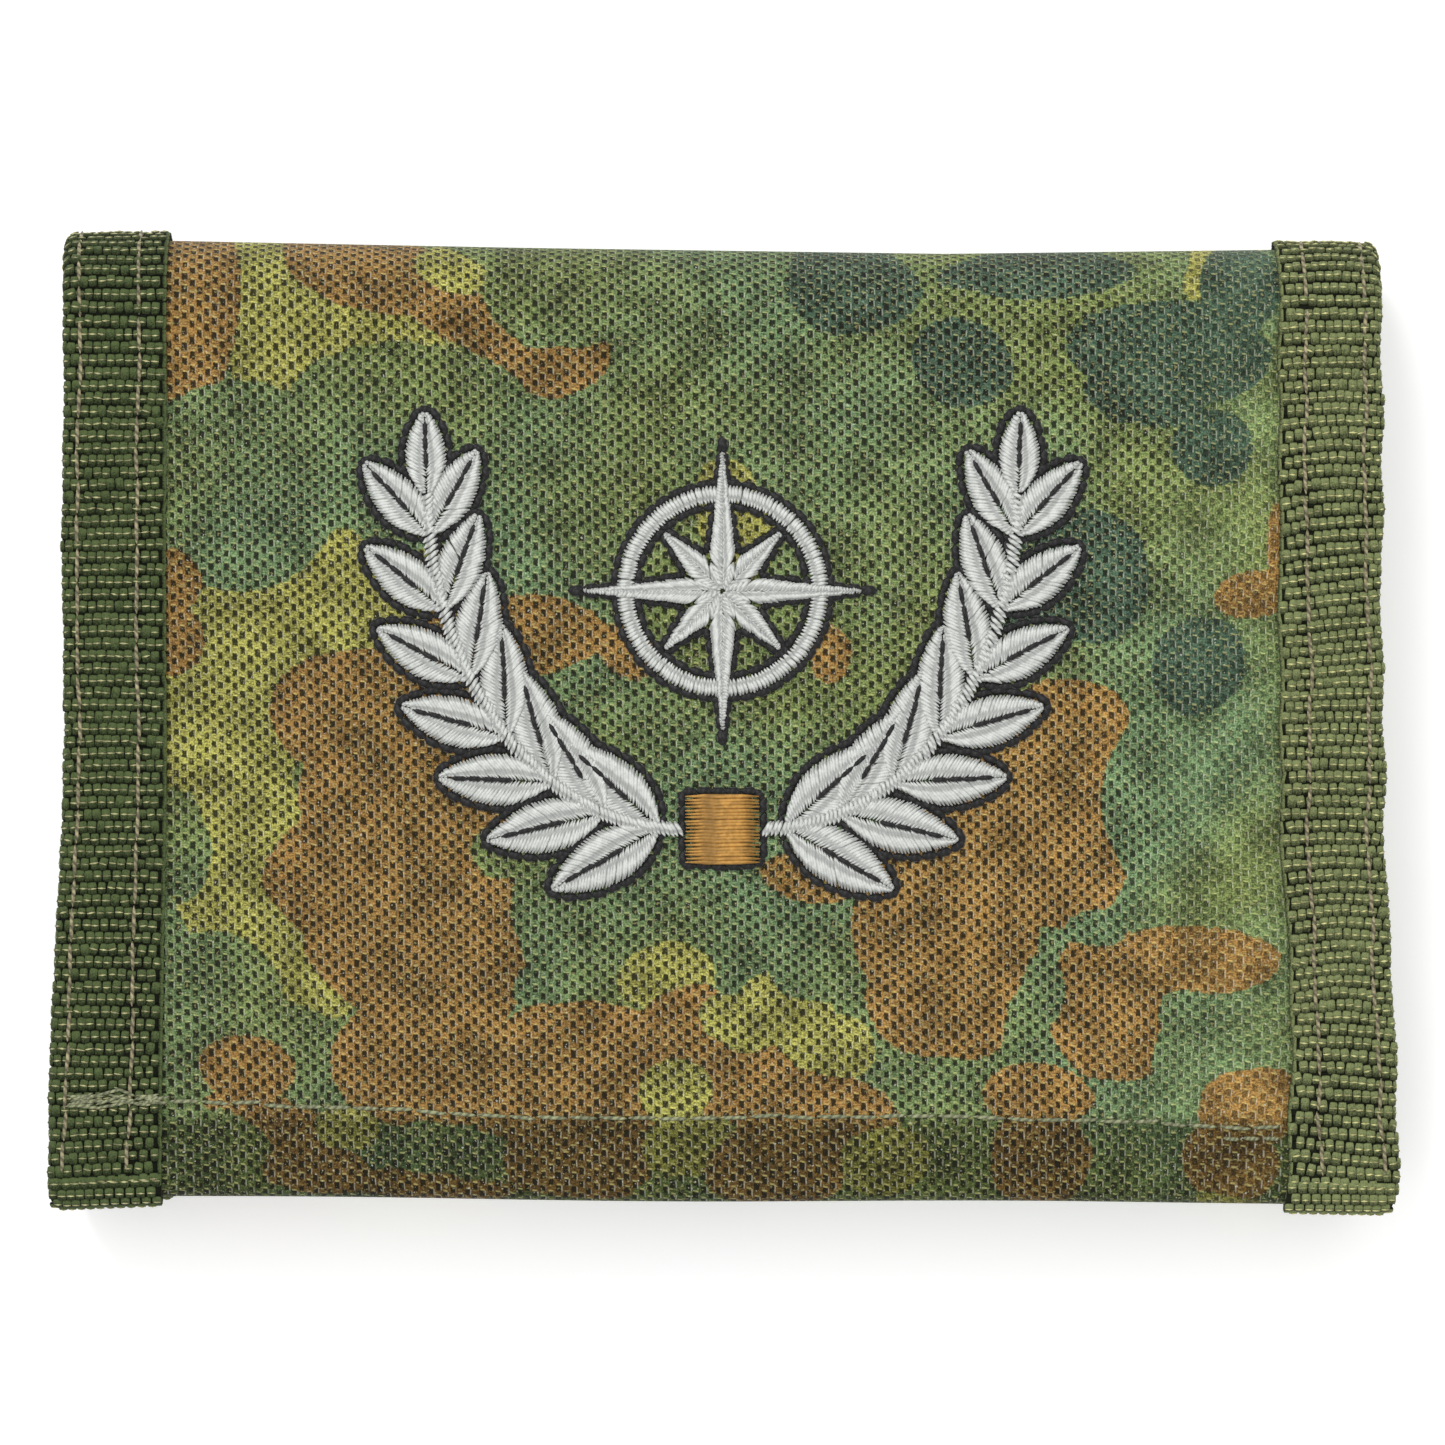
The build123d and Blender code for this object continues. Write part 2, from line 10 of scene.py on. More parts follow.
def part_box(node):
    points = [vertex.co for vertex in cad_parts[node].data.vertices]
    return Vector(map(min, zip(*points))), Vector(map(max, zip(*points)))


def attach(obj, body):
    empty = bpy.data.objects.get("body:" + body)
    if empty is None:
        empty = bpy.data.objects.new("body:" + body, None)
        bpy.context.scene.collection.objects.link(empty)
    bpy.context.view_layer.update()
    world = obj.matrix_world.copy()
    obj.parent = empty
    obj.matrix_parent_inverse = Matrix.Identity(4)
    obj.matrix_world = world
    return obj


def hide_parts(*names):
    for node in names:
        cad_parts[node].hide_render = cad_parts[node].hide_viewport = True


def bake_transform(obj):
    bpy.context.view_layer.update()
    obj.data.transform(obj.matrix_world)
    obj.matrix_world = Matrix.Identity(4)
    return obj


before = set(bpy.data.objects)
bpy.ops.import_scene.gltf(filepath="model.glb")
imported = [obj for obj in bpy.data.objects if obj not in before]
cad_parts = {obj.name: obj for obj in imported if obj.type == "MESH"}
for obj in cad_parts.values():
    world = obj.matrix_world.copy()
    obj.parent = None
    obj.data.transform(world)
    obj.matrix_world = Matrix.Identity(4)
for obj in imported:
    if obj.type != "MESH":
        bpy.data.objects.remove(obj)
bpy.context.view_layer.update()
MM = 0.001

# ---- the frame's own sizes, in millimetres -------------------------------------------------------


def corners(node):
    """Lowest and highest corner of a CAD node, in millimetres."""
    low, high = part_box(node)
    return np.array(low) / MM, np.array(high) / MM


FLAP_LOW, FLAP_HIGH = corners("shell_flap")
BACK_LOW, BACK_HIGH = corners("shell_back")
INNER_LOW, INNER_HIGH = corners("shell_inner")
HALF = corners("edge_tape_right_back")[1][0]            # half width at the folds
HEM_HALF = corners("edge_tape_right_flap")[1][0]        # half width at the flap's hem
TAPE = BACK_LOW[2] - corners("edge_tape_right_back")[0][2]
TAPE_FACE = np.ptp([c[0] for c in corners("edge_tape_right_back")])
FLAP_Z, FACE_Z, INNER_Z = FLAP_HIGH[2], BACK_LOW[2], INNER_HIGH[2]
TOP_R, BOTTOM_R = (FLAP_Z - FACE_Z) / 2, (INNER_Z - FACE_Z) / 2
TOP_Z, BOTTOM_Z = FACE_Z + TOP_R, FACE_Z + BOTTOM_R
TOP_Y = corners("shell_top_fold")[1][1] - TOP_R
BOTTOM_Y = corners("shell_bottom_fold")[0][1] + BOTTOM_R
HEM_R = (FLAP_HIGH[2] - FLAP_LOW[2]) / 2
HEM_Y = FLAP_LOW[1] + HEM_R                             # centre of the flap's turned hem
INNER_HEM_Y = INNER_HIGH[1] - HEM_R
HEM_TURN = 9.5                                          # how far a hem is turned back
SHELL, LINING = 0.7, 0.4                                # thicknesses of the two cloths
LINING_DEPTH = 2.3                                      # from the shell's outer face to the lining
RIB, COLUMN = 1.21, 0.88        # pitch of the tape's ribs and of the yarns across them
HEM_RIB = RIB * HEM_R / (HEM_R + TAPE)                  # the ribs' pitch on the cloth inside the turn

# The unrolled strip: s runs up the flap's face, over the top fold, down the back, round the
# bottom fold and up the inner panel. On the flap's face s is y.
HALF_TURN = math.pi * HEM_R                             # length of the turn of a hem
TOP_MID = TOP_Y + math.pi * TOP_R / 2
TOP_END = TOP_Y + math.pi * TOP_R
BACK_MID = TOP_END + TOP_Y
BACK_END = TOP_END + TOP_Y - BOTTOM_Y
BOTTOM_MID = BACK_END + math.pi * BOTTOM_R / 2
BOTTOM_END = BACK_END + math.pi * BOTTOM_R
INNER_HEM_S = BOTTOM_END + INNER_HEM_Y - BOTTOM_Y
HEM_LENGTH = HALF_TURN + HEM_TURN - HEM_R

# stretch of the strip: its first and last s, the two bodies it bends between, the CAD stretches it covers
STRETCHES = {
    "flap": (HEM_Y - HEM_LENGTH, TOP_MID, ("flap", "top_spine"), ("flap", "top_fold")),
    "upper_back": (TOP_MID, BACK_MID, ("top_spine", "back_panel"), ("top_fold", "back")),
    "lower_back": (BACK_MID, BOTTOM_MID, ("back_panel", "bottom_spine"), ("back", "bottom_fold")),
    "inner": (BOTTOM_MID, INNER_HEM_S + HEM_LENGTH, ("bottom_spine", "inner_panel"),
              ("bottom_fold", "inner")),
}
# where each bend starts and ends, as s
BENDS = {
    "flap": (TOP_Y - 1.0, TOP_MID),
    "upper_back": (TOP_MID, TOP_END + 1.0),
    "lower_back": (BACK_END - 1.0, BOTTOM_MID),
    "inner": (BOTTOM_MID, BOTTOM_END + 1.0),
}


def strip(s, d):
    """Y, Z and outward normal of the wallet's strip at unrolled place s and depth d, all arrays."""
    s, d = np.broadcast_arrays(np.asarray(s, float), np.asarray(d, float))
    y, z, ny, nz = (np.zeros(s.shape) for _ in range(4))

    def flat(mask, yy, zz, up):
        y[mask], z[mask], ny[mask], nz[mask] = yy, zz, 0, up

    def turn(mask, cy, cz, radius, angle):
        reach = (radius - d[mask])
        y[mask], z[mask] = cy + reach * np.cos(angle), cz + reach * np.sin(angle)
        ny[mask], nz[mask] = np.cos(angle), np.sin(angle)

    m = s < HEM_Y - HALF_TURN
    flat(m, HEM_Y + (HEM_Y - HALF_TURN - s[m]), FLAP_Z - 2 * HEM_R + d[m], -1)
    m = (s >= HEM_Y - HALF_TURN) & (s < HEM_Y)
    turn(m, HEM_Y, FLAP_Z - HEM_R, HEM_R, math.pi / 2 + (HEM_Y - s[m]) / HEM_R)
    m = (s >= HEM_Y) & (s < TOP_Y)
    flat(m, s[m], FLAP_Z - d[m], 1)
    m = (s >= TOP_Y) & (s < TOP_END)
    turn(m, TOP_Y, TOP_Z, TOP_R, math.pi / 2 - (s[m] - TOP_Y) / TOP_R)
    m = (s >= TOP_END) & (s < BACK_END)
    flat(m, TOP_Y - (s[m] - TOP_END), FACE_Z + d[m], -1)
    m = (s >= BACK_END) & (s < BOTTOM_END)
    turn(m, BOTTOM_Y, BOTTOM_Z, BOTTOM_R, -math.pi / 2 - (s[m] - BACK_END) / BOTTOM_R)
    m = (s >= BOTTOM_END) & (s < INNER_HEM_S)
    flat(m, BOTTOM_Y + (s[m] - BOTTOM_END), INNER_Z - d[m], 1)
    m = (s >= INNER_HEM_S) & (s < INNER_HEM_S + HALF_TURN)
    turn(m, INNER_HEM_Y, INNER_Z - HEM_R, HEM_R, math.pi / 2 - (s[m] - INNER_HEM_S) / HEM_R)
    m = s >= INNER_HEM_S + HALF_TURN
    flat(m, INNER_HEM_Y - (s[m] - INNER_HEM_S - HALF_TURN), INNER_Z - 2 * HEM_R + d[m], -1)
    return y, z, ny, nz


def half_width(s):
    """The flap flares towards its hem."""
    share = np.clip((TOP_Y - np.asarray(s, float)) / (TOP_Y - HEM_Y), 0, 1)
    return HALF + share * (HEM_HALF - HALF)


# ---- softness: one smooth field moves everything on the flap together ----------------------------


def ripple(a, b, seed, count=5):
    """Smooth seeded noise over two arrays, about -1 to 1: a few sine waves in random directions."""
    rng = np.random.default_rng(seed)
    total = np.zeros(np.broadcast(a, b).shape)
    for _ in range(count):
        turn, phase, pitch = rng.uniform(0, math.pi), rng.uniform(0, 2 * math.pi), rng.uniform(0.7, 1.5)
        total += np.sin((a * math.cos(turn) + b * math.sin(turn)) * pitch + phase)
    return total / count * 1.4


def smooth(value, low, high):
    """0 below low, 1 above high, and an eased rise between them."""
    t = np.clip((np.asarray(value, float) - low) / (high - low), 0, 1)
    return t * t * (3 - 2 * t)


# x, and how far the edge rises there
TOP_EDGE = (-65, -55, -20, 22, 55, 65), (0.7, 0.8, 0.1, -0.5, -0.1, -0.3)
LOW_EDGE = (-65, -55, 0, 55, 65), (-0.1, 0.3, -0.1, -0.4, -0.6)


def soften(points):
    """Gives the flap and the top fold their hand-made unevenness. points is (N, 3) in millimetres."""
    p = np.array(points, float).reshape(-1, 3)
    x, y, z = p[:, 0].copy(), p[:, 1].copy(), p[:, 2].copy()
    lift = smooth(z, 8.0, 13.0)
    loose = np.maximum(lift, smooth(z, 2.0, 8.0) * smooth(y, 38, 44))
    edge = smooth(np.abs(x), 52, 64)
    right = smooth(x, 48, 56)
    flare = (HEM_HALF - HALF) * np.clip((TOP_Y - y) / (TOP_Y - HEM_Y), 0, 1)
    swell = (HEM_HALF - HALF) * smooth(-y, 5, 38)
    p[:, 0] += lift * np.sign(x) * (edge * swell - smooth(np.abs(x), 20, 56) * flare)
    p[:, 0] += lift * right * (1 - edge) * 1.3 * np.exp(-((y + 30) / 14) ** 2)
    p[:, 0] += loose * edge * (0.16 * ripple(y / 6, x / 60, 3) + 0.10 * ripple(y / 1.9, x / 9, 4))
    p[:, 0] += loose * right * 0.22 * ripple(y / 2.2, x / 9, 9)
    p[:, 1] += loose * smooth(y, 30, 46) * np.interp(x, *TOP_EDGE)
    p[:, 1] += lift * smooth(-y, 30, 46) * np.interp(x, *LOW_EDGE)
    p[:, 1] += lift * 0.15 * ripple(x / 9, y / 40, 5) * smooth(-y, 20, 47)
    p[:, 2] += lift * (0.22 * ripple(x / 13, y / 13, 6) - 0.12)
    p[:, 2] += lift * right * 0.30 * ripple(y / 1.9, x / 5, 8)
    return p


# ---- mesh helpers --------------------------------------------------------------------------------


def link(obj):
    """Puts the object in the scene."""
    bpy.context.scene.collection.objects.link(obj)
    return obj


def face_out(mesh):
    """Turns the faces of closed shells outwards."""
    shell = bmesh.new()
    shell.from_mesh(mesh)
    bmesh.ops.recalc_face_normals(shell, faces=shell.faces)
    shell.to_mesh(mesh)
    shell.free()


def mesh_object(name, verts, faces, material, uvs=None, fields=None, closed=True):
    """Object from vertices in millimetres, with a UV for each vertex and named float attributes."""
    mesh = bpy.data.meshes.new(name)
    mesh.from_pydata((np.asarray(verts) * MM).tolist(), [], [list(map(int, f)) for f in faces])
    if closed:
        face_out(mesh)
    if uvs is not None:
        layer = mesh.uv_layers.new(name="UVMap")
        index = np.zeros(len(mesh.loops), int)
        mesh.loops.foreach_get("vertex_index", index)
        layer.data.foreach_set("uv", np.asarray(uvs, np.float32)[index].ravel())
    for key, values in (fields or {}).items():
        attribute = mesh.attributes.new(key, "FLOAT", "POINT")
        attribute.data.foreach_set("value", np.asarray(values, np.float32).ravel())
    mesh.polygons.foreach_set("use_smooth", [True] * len(mesh.polygons))
    mesh.materials.append(material)
    mesh.update()
    return link(bpy.data.objects.new(name, mesh))


def grid_faces(rows, columns, start=0, close=False):
    """Quads over a grid of vertices numbered row by row."""
    i, j = np.meshgrid(np.arange(rows - 1), np.arange(columns if close else columns - 1), indexing="ij")
    k = (j + 1) % columns
    below, above = i * columns, (i + 1) * columns
    return np.stack([below + j, below + k, above + k, above + j], -1).reshape(-1, 4) + start


def layer(name, face, back, material, uv, fields=None):
    """A closed layer of cloth between two grids of points of one shape: its face and its back."""
    rows, columns = face.shape[:2]
    size = rows * columns
    verts = soften(np.concatenate([face.reshape(-1, 3), back.reshape(-1, 3)]))
    ring = (list(range(columns)) + [i * columns + columns - 1 for i in range(1, rows)]
            + [(rows - 1) * columns + j for j in range(columns - 2, -1, -1)]
            + [i * columns for i in range(rows - 2, 0, -1)])
    rim = [(a, a + size, b + size, b) for a, b in zip(ring, ring[1:] + ring[:1])]
    under = grid_faces(rows, columns, size)[:, ::-1]
    faces = np.concatenate([grid_faces(rows, columns), under, np.array(rim)])
    twice = {key: np.tile(np.ravel(values), 2) for key, values in (fields or {}).items()}
    return mesh_object(name, verts, faces, material, np.tile(uv.reshape(-1, 2), (2, 1)), twice)


def cloth_slab(name, xs, ss, depth, thickness, material, inset=0.85, paint_it=False):
    """A layer of cloth: xs runs 0 to 1 across the width, ss along the strip, and inset is how far it
    stops inside the bound edges."""
    share, s = np.meshgrid(xs, ss, indexing="ij")
    half = half_width(s)
    x = (2 * share - 1) * (half - inset)
    sides = [np.stack([x, *strip(s, d)[:2]], -1) for d in (depth, depth + thickness)]
    fields = dict(zip(("olive", "brown", "dark"), camouflage(x, s))) if paint_it else None
    return layer(name, *sides, material, np.stack([x, s], -1), fields)


# ---- camouflage ----------------------------------------------------------------------------------
# Patches on the flap's face: tint, centre x and y, half length, half width and turn in degrees. Later
# ones lie over earlier ones, so lobes of one tint run together.
PATCHES = [
    ("olive", -38, 38.5, 12, 8, -8), ("olive", -43, 36, 3.5, 5, 0), ("olive", -46, 42, 4, 9, 0),
    ("brown", -53, 41, 5.2, 9.5, 0), ("brown", -35, 44.5, 9, 4, -14), ("brown", -27, 41.5, 8, 3, -28),
    ("brown", -21, 37.5, 6, 3.4, -35), ("brown", -17, 36, 5.4, 4, 0), ("green", -16, 43, 7.5, 6.4, -4),
    ("olive", -26.6, 44.4, 4.0, 2.0, -20), ("olive", -37.5, 9.5, 7.5, 9.8, 0), ("olive", -31, 12, 6, 6, 0),
    ("olive", -49, 3, 7.5, 13, 0), ("olive", -49, -12, 7, 12, 0), ("olive", -43, -24, 7, 4, -35),
    ("green", -49, 23.2, 10.5, 10.8, 0), ("green", -30, 27.5, 12, 10.5, 0),
    ("green", -37, 29.5, 7.5, 6, 20), ("brown", -54.5, 13.5, 2.4, 3.4, 0), ("brown", -54.5, 7.6, 2.2, 3, 0),
    ("green", -54, -12, 2.6, 5.6, 0), ("green", -51, -27, 6.5, 6.2, -20), ("green", -42, -34, 8, 5, -35),
    ("brown", -37, 1.0, 8, 6.2, 0), ("brown", -25.4, 4, 5.0, 8.6, 0), ("brown", -33, -8, 9.6, 8, 0),
    ("brown", -37, -15, 10, 6.4, 0), ("brown", -31, -20, 11.5, 9, 0), ("brown", -25, -14, 5.6, 7, 0),
    ("brown", -26, -25, 6.4, 6, 0), ("brown", -19, 8.5, 8, 4, 0), ("brown", -9.5, 7, 2.4, 3.2, 0),
    ("green", -12, -19, 9, 8.8, 0), ("green", 2, -16, 12, 8.6, 0), ("green", -21.4, -12.8, 2.9, 2.9, 0),
    ("green", -17.5, -26, 3.4, 3, 0), ("brown", -30, -33.5, 9.6, 7, 0), ("brown", -14, -32, 9, 4.6, 0),
    ("brown", -14, -37, 12, 5, 0), ("brown", 0, -35, 9, 5, 0), ("brown", 9, -38.6, 8.4, 4.4, 0),
    ("olive", -5.4, -25.4, 4.6, 3.3, 0), ("brown", -3, -30, 5, 3.6, 14), ("olive", 1.5, -29.6, 4, 2.8, -20),
    ("olive", 6, -28.2, 4.8, 4, 0), ("olive", 10, -31.6, 5, 3.2, -14), ("green", 9, -24.6, 4, 2.6, -20),
    ("brown", 34.5, -4, 7.2, 8.6, 0), ("brown", 34, -13, 6.6, 7.6, 0), ("brown", 28, -11, 8.4, 9, 0),
    ("brown", 18, -15.4, 6.5, 3.8, 0), ("brown", 10, -15, 6, 2.8, -8), ("brown", 22, -21, 9.4, 9, 0),
    ("brown", 21, -28, 7.4, 5, -10), ("brown", 25, -31, 3.2, 2.6, 0), ("brown", 38.5, -27.5, 6, 7.8, 0),
    ("brown", 44, -23.5, 9.5, 3.4, 4), ("brown", 50, -24.2, 5, 3, 0), ("green", 37.4, -20.4, 3.2, 1.7, 0),
    ("brown", 41, -32, 4.4, 3.2, 20), ("green", 31.8, -26.6, 2.4, 3.8, 0),
    ("green", 47, -33.5, 3.4, 4.2, 20), ("brown", 11, 6.5, 2.4, 3, 0), ("green", 46, -8, 8, 11, 0),
    ("dark", 13, 43.4, 7, 4.8, -8), ("dark", 23.6, 35.6, 4.8, 4.6, 0), ("dark", 31, 45, 9.6, 2.6, 0),
    ("dark", 44.5, 37, 10.6, 4.8, -4), ("dark", 42, 33, 6, 3.8, 0), ("dark", 51, 43, 4, 5, 0),
    ("dark", 48.6, 27.4, 4.4, 4.2, 0), ("dark", 36, 14.8, 7.2, 6.4, 0), ("dark", 30, 9, 4.4, 4, 0),
    ("dark", 47.4, 5.4, 4.7, 4.5, 0), ("brown", 52.6, 12.4, 4.2, 2.5, 12), ("brown", 55.6, 17, 1.4, 4.6, 0),
    ("olive", 1.4, 19.8, 3.5, 6, 18), ("brown", -48.2, -34.4, 5, 3.2, -8),
    ("brown", -46, -39.6, 7, 2.8, -14), ("olive", -37.8, -40.6, 3.4, 2.4, -15),
    ("green", -51, -43, 5.6, 4.6, 0), ("brown", -41, -44.6, 6, 2.6, -14),
    ("green", -27.5, -42, 6.6, 2.5, 0), ("brown", -29, -46.2, 9, 1.8, 0), ("brown", -14, -43, 7.4, 4.6, 0),
    ("olive", -4.6, -36.2, 3.4, 3.2, 0), ("olive", -3.2, -41.6, 4.6, 2.8, 0),
    ("green", -4, -46.4, 5, 2.2, 0), ("brown", 5.4, -44, 7, 4.4, 0), ("olive", 16, -43, 4.4, 3.8, 10),
    ("brown", 31.5, -37.2, 5.8, 3.2, 0), ("brown", 32, -43, 5.4, 4.8, 0), ("brown", 53, -37.6, 4.4, 3.8, 0),
    ("brown", 51, -43, 4.4, 4, 0), ("olive", 51, -47, 3.4, 1.2, 0),
]


HIDDEN_PATCHES = 150            # scattered over the back and the inner panel


def camouflage(x, s):
    """Signed distance, in millimetres, into the olive, brown and dark patches at each place. Round the
    top fold the patches are laid out as they look from above."""
    turn = np.clip((s - TOP_Y) / TOP_R, 0, math.pi / 2)
    s = np.where(s > TOP_Y, TOP_Y + TOP_R * np.sin(turn) + np.maximum(0, s - TOP_MID), s)
    wx = x + 0.7 * ripple(x / 3.2, s / 3.2, 11) + 0.2 * ripple(x / 0.9, s / 0.9, 13)
    ws = s + 0.7 * ripple(x / 3.2, s / 3.2, 12) + 0.2 * ripple(x / 0.9, s / 0.9, 14)
    field = {tint: np.full(x.shape, -9.0) for tint in ("olive", "brown", "dark", "green")}
    rng = np.random.default_rng(21)
    patches = []
    for _ in range(HIDDEN_PATCHES):
        tint = ("olive", "brown", "dark", "green")[rng.integers(4)]
        place = rng.uniform(-66, 66), rng.uniform(TOP_Y + TOP_R + 5, INNER_HEM_S + 20)
        patches.append((tint, *place, rng.uniform(5, 14), rng.uniform(3, 8), rng.uniform(0, 180)))
    for tint, cx, cs, long_half, short_half, turn in patches + PATCHES:
        c, q = math.cos(math.radians(turn)), math.sin(math.radians(turn))
        a, b = (wx - cx) * c + (ws - cs) * q, -(wx - cx) * q + (ws - cs) * c
        inside = (1 - np.hypot(a / long_half, b / short_half)) * min(long_half, short_half)
        for other in field:
            if other == tint:
                field[other] = np.maximum(field[other], inside)
            else:
                field[other] = np.minimum(field[other], -inside)
    return field["olive"], field["brown"], field["dark"]


# ---- materials -----------------------------------------------------------------------------------


class Shader:
    """A material's node tree, with short names for the nodes that the finishes use."""

    def __init__(self, name, roughness=0.8, metallic=0.0, sheen=0.0, specular=0.5):
        self.material = bpy.data.materials.new(name)
        self.material.use_nodes = True
        self.tree = self.material.node_tree
        self.surface = self.tree.nodes["Principled BSDF"]
        settings = {"Roughness": roughness, "Metallic": metallic, "Sheen Weight": sheen,
                    "Sheen Roughness": 0.4, "Specular IOR Level": specular}
        for key, value in settings.items():
            self.surface.inputs[key].default_value = value

    def node(self, kind, inputs=(), **settings):
        node = self.tree.nodes.new(kind)
        for key, value in settings.items():
            setattr(node, key, value)
        for key, value in dict(inputs).items():
            self.put(value, node.inputs[key])
        return node

    def put(self, value, socket):
        """Links or sets a socket, whichever the value calls for."""
        if isinstance(value, bpy.types.NodeSocket):
            self.tree.links.new(value, socket)
        else:
            socket.default_value = value

    def math(self, operation, a, b=0.0, c=0.0):
        return self.node("ShaderNodeMath", {0: a, 1: b, 2: c}, operation=operation).outputs[0]

    def step(self, value, low, high):
        inputs = {"Value": value, "From Min": low, "From Max": high}
        return self.node("ShaderNodeMapRange", inputs, interpolation_type="SMOOTHSTEP").outputs[0]

    def mix(self, factor, a, b, blend="MIX"):
        node = self.node("ShaderNodeMix", data_type="RGBA", blend_type=blend)
        for socket, value in ((0, factor), (6, a), (7, b)):
            self.put(value, node.inputs[socket])
        return node.outputs[2]

    def near(self, value, centre, full, none):
        """1 within full of the centre, falling to 0 at none."""
        return self.step(self.math("ABSOLUTE", self.math("SUBTRACT", value, centre)), none, full)

    def times(self, *values):
        product = values[0]
        for value in values[1:]:
            product = self.math("MULTIPLY", product, value)
        return product

    def brighter(self, colour, amount):
        return self.mix(1.0, colour, (amount, amount, amount, 1), "MULTIPLY")

    def attribute(self, name):
        return self.node("ShaderNodeAttribute", attribute_name=name).outputs["Fac"]

    def uv(self):
        return self.node("ShaderNodeTexCoord").outputs["UV"]

    def place(self):
        return self.node("ShaderNodeTexCoord").outputs["Object"]

    def noise(self, vector, scale, detail=2.0, roughness=0.5):
        inputs = {"Vector": vector, "Scale": scale, "Detail": detail, "Roughness": roughness}
        return self.node("ShaderNodeTexNoise", inputs).outputs["Fac"]

    def swing(self, vector, scale, reach, detail=2.0):
        """Noise about zero, reach from end to end."""
        return self.math("MULTIPLY", self.math("SUBTRACT", self.noise(vector, scale, detail), 0.5), reach)

    def share(self, value, size):
        """Distance from zero as a share of size."""
        return self.math("DIVIDE", self.math("ABSOLUTE", value), size)

    def split(self, vector):
        return self.node("ShaderNodeSeparateXYZ", {0: vector}).outputs

    def join(self, x, y, z=0.0):
        return self.node("ShaderNodeCombineXYZ", {0: x, 1: y, 2: z}).outputs[0]

    def colour(self, value):
        self.tree.links.new(value, self.surface.inputs["Base Color"])

    def rough(self, value):
        self.tree.links.new(value, self.surface.inputs["Roughness"])

    def bump(self, height, distance, strength=1.0):
        inputs = {"Height": height, "Distance": distance * MM, "Strength": strength}
        self.tree.links.new(self.node("ShaderNodeBump", inputs).outputs[0], self.surface.inputs["Normal"])


def rgb(r, g, b):
    """Colour as it looks, 0 to 255, turned to the linear values that the shader takes."""
    linear = [((v / 255 + 0.055) / 1.055) ** 2.4 if v > 10 else v / 255 / 12.92 for v in (r, g, b)]
    return (*linear, 1.0)


def scaled(tint, share):
    """The tint made brighter or darker, up to full."""
    return (*(min(1, v * share) for v in tint[:3]), 1)


def weave(sh, warp, weft, drift):
    """Plain weave on the UV map, which is in millimetres: 1 on a raised crossing, -1 in a hole."""
    uv = sh.uv()
    x, y, _ = sh.split(uv)
    y = sh.math("ADD", y, sh.swing(uv, 0.06, drift * 6))
    x = sh.math("ADD", x, sh.swing(uv, 0.25, drift))
    a = sh.math("COSINE", sh.math("MULTIPLY", x, math.pi / warp))
    b = sh.math("COSINE", sh.math("MULTIPLY", y, math.pi / weft))
    return sh.math("MULTIPLY", a, b)


def woven_bricks(sh, wide, tall, skew, wander):
    """Bricks of the weave on the UV map, which is in millimetres: the place within each brick, from
    its centre, and random values that stay the same all over the brick."""
    uv = sh.uv()
    x, y, _ = sh.split(uv)
    sway = sh.swing(uv, 0.06, wander)
    jog = sh.swing(uv, 0.3, 0.4)
    column = sh.math("DIVIDE", sh.math("ADD", x, jog), wide)
    i = sh.math("FLOOR", column)
    level = sh.math("DIVIDE", sh.math("ADD", sh.math("MULTIPLY_ADD", x, skew, y), sway), tall)
    row = sh.math("MULTIPLY_ADD", sh.math("PINGPONG", i, 1.0), 0.5, level)
    j = sh.math("FLOOR", row)
    across = sh.math("MULTIPLY", sh.math("SUBTRACT", sh.math("SUBTRACT", column, i), 0.5), wide)
    along = sh.math("MULTIPLY", sh.math("SUBTRACT", sh.math("SUBTRACT", row, j), 0.5), tall)
    grain = sh.node("ShaderNodeTexWhiteNoise", {"Vector": sh.join(i, j)}).outputs["Color"]
    return across, along, sh.split(grain)


BRICK = (0.755, 1.36)           # pitch of the shell's weave across and along
HOLE = (0.21, 0.28)             # half sizes of the hole in each brick
GREENS = (rgb(96, 108, 60), rgb(86, 108, 74))
PRINTS = (("olive", rgb(136, 134, 66)), ("brown", rgb(126, 96, 50)), ("dark", rgb(55, 74, 58)))
# pale specks: noise scale, where they start and are full, and tint
SPARKS = ((2.6, 0.60, 0.70, rgb(160, 154, 104)), (3.2, 0.66, 0.76, rgb(216, 216, 200)))


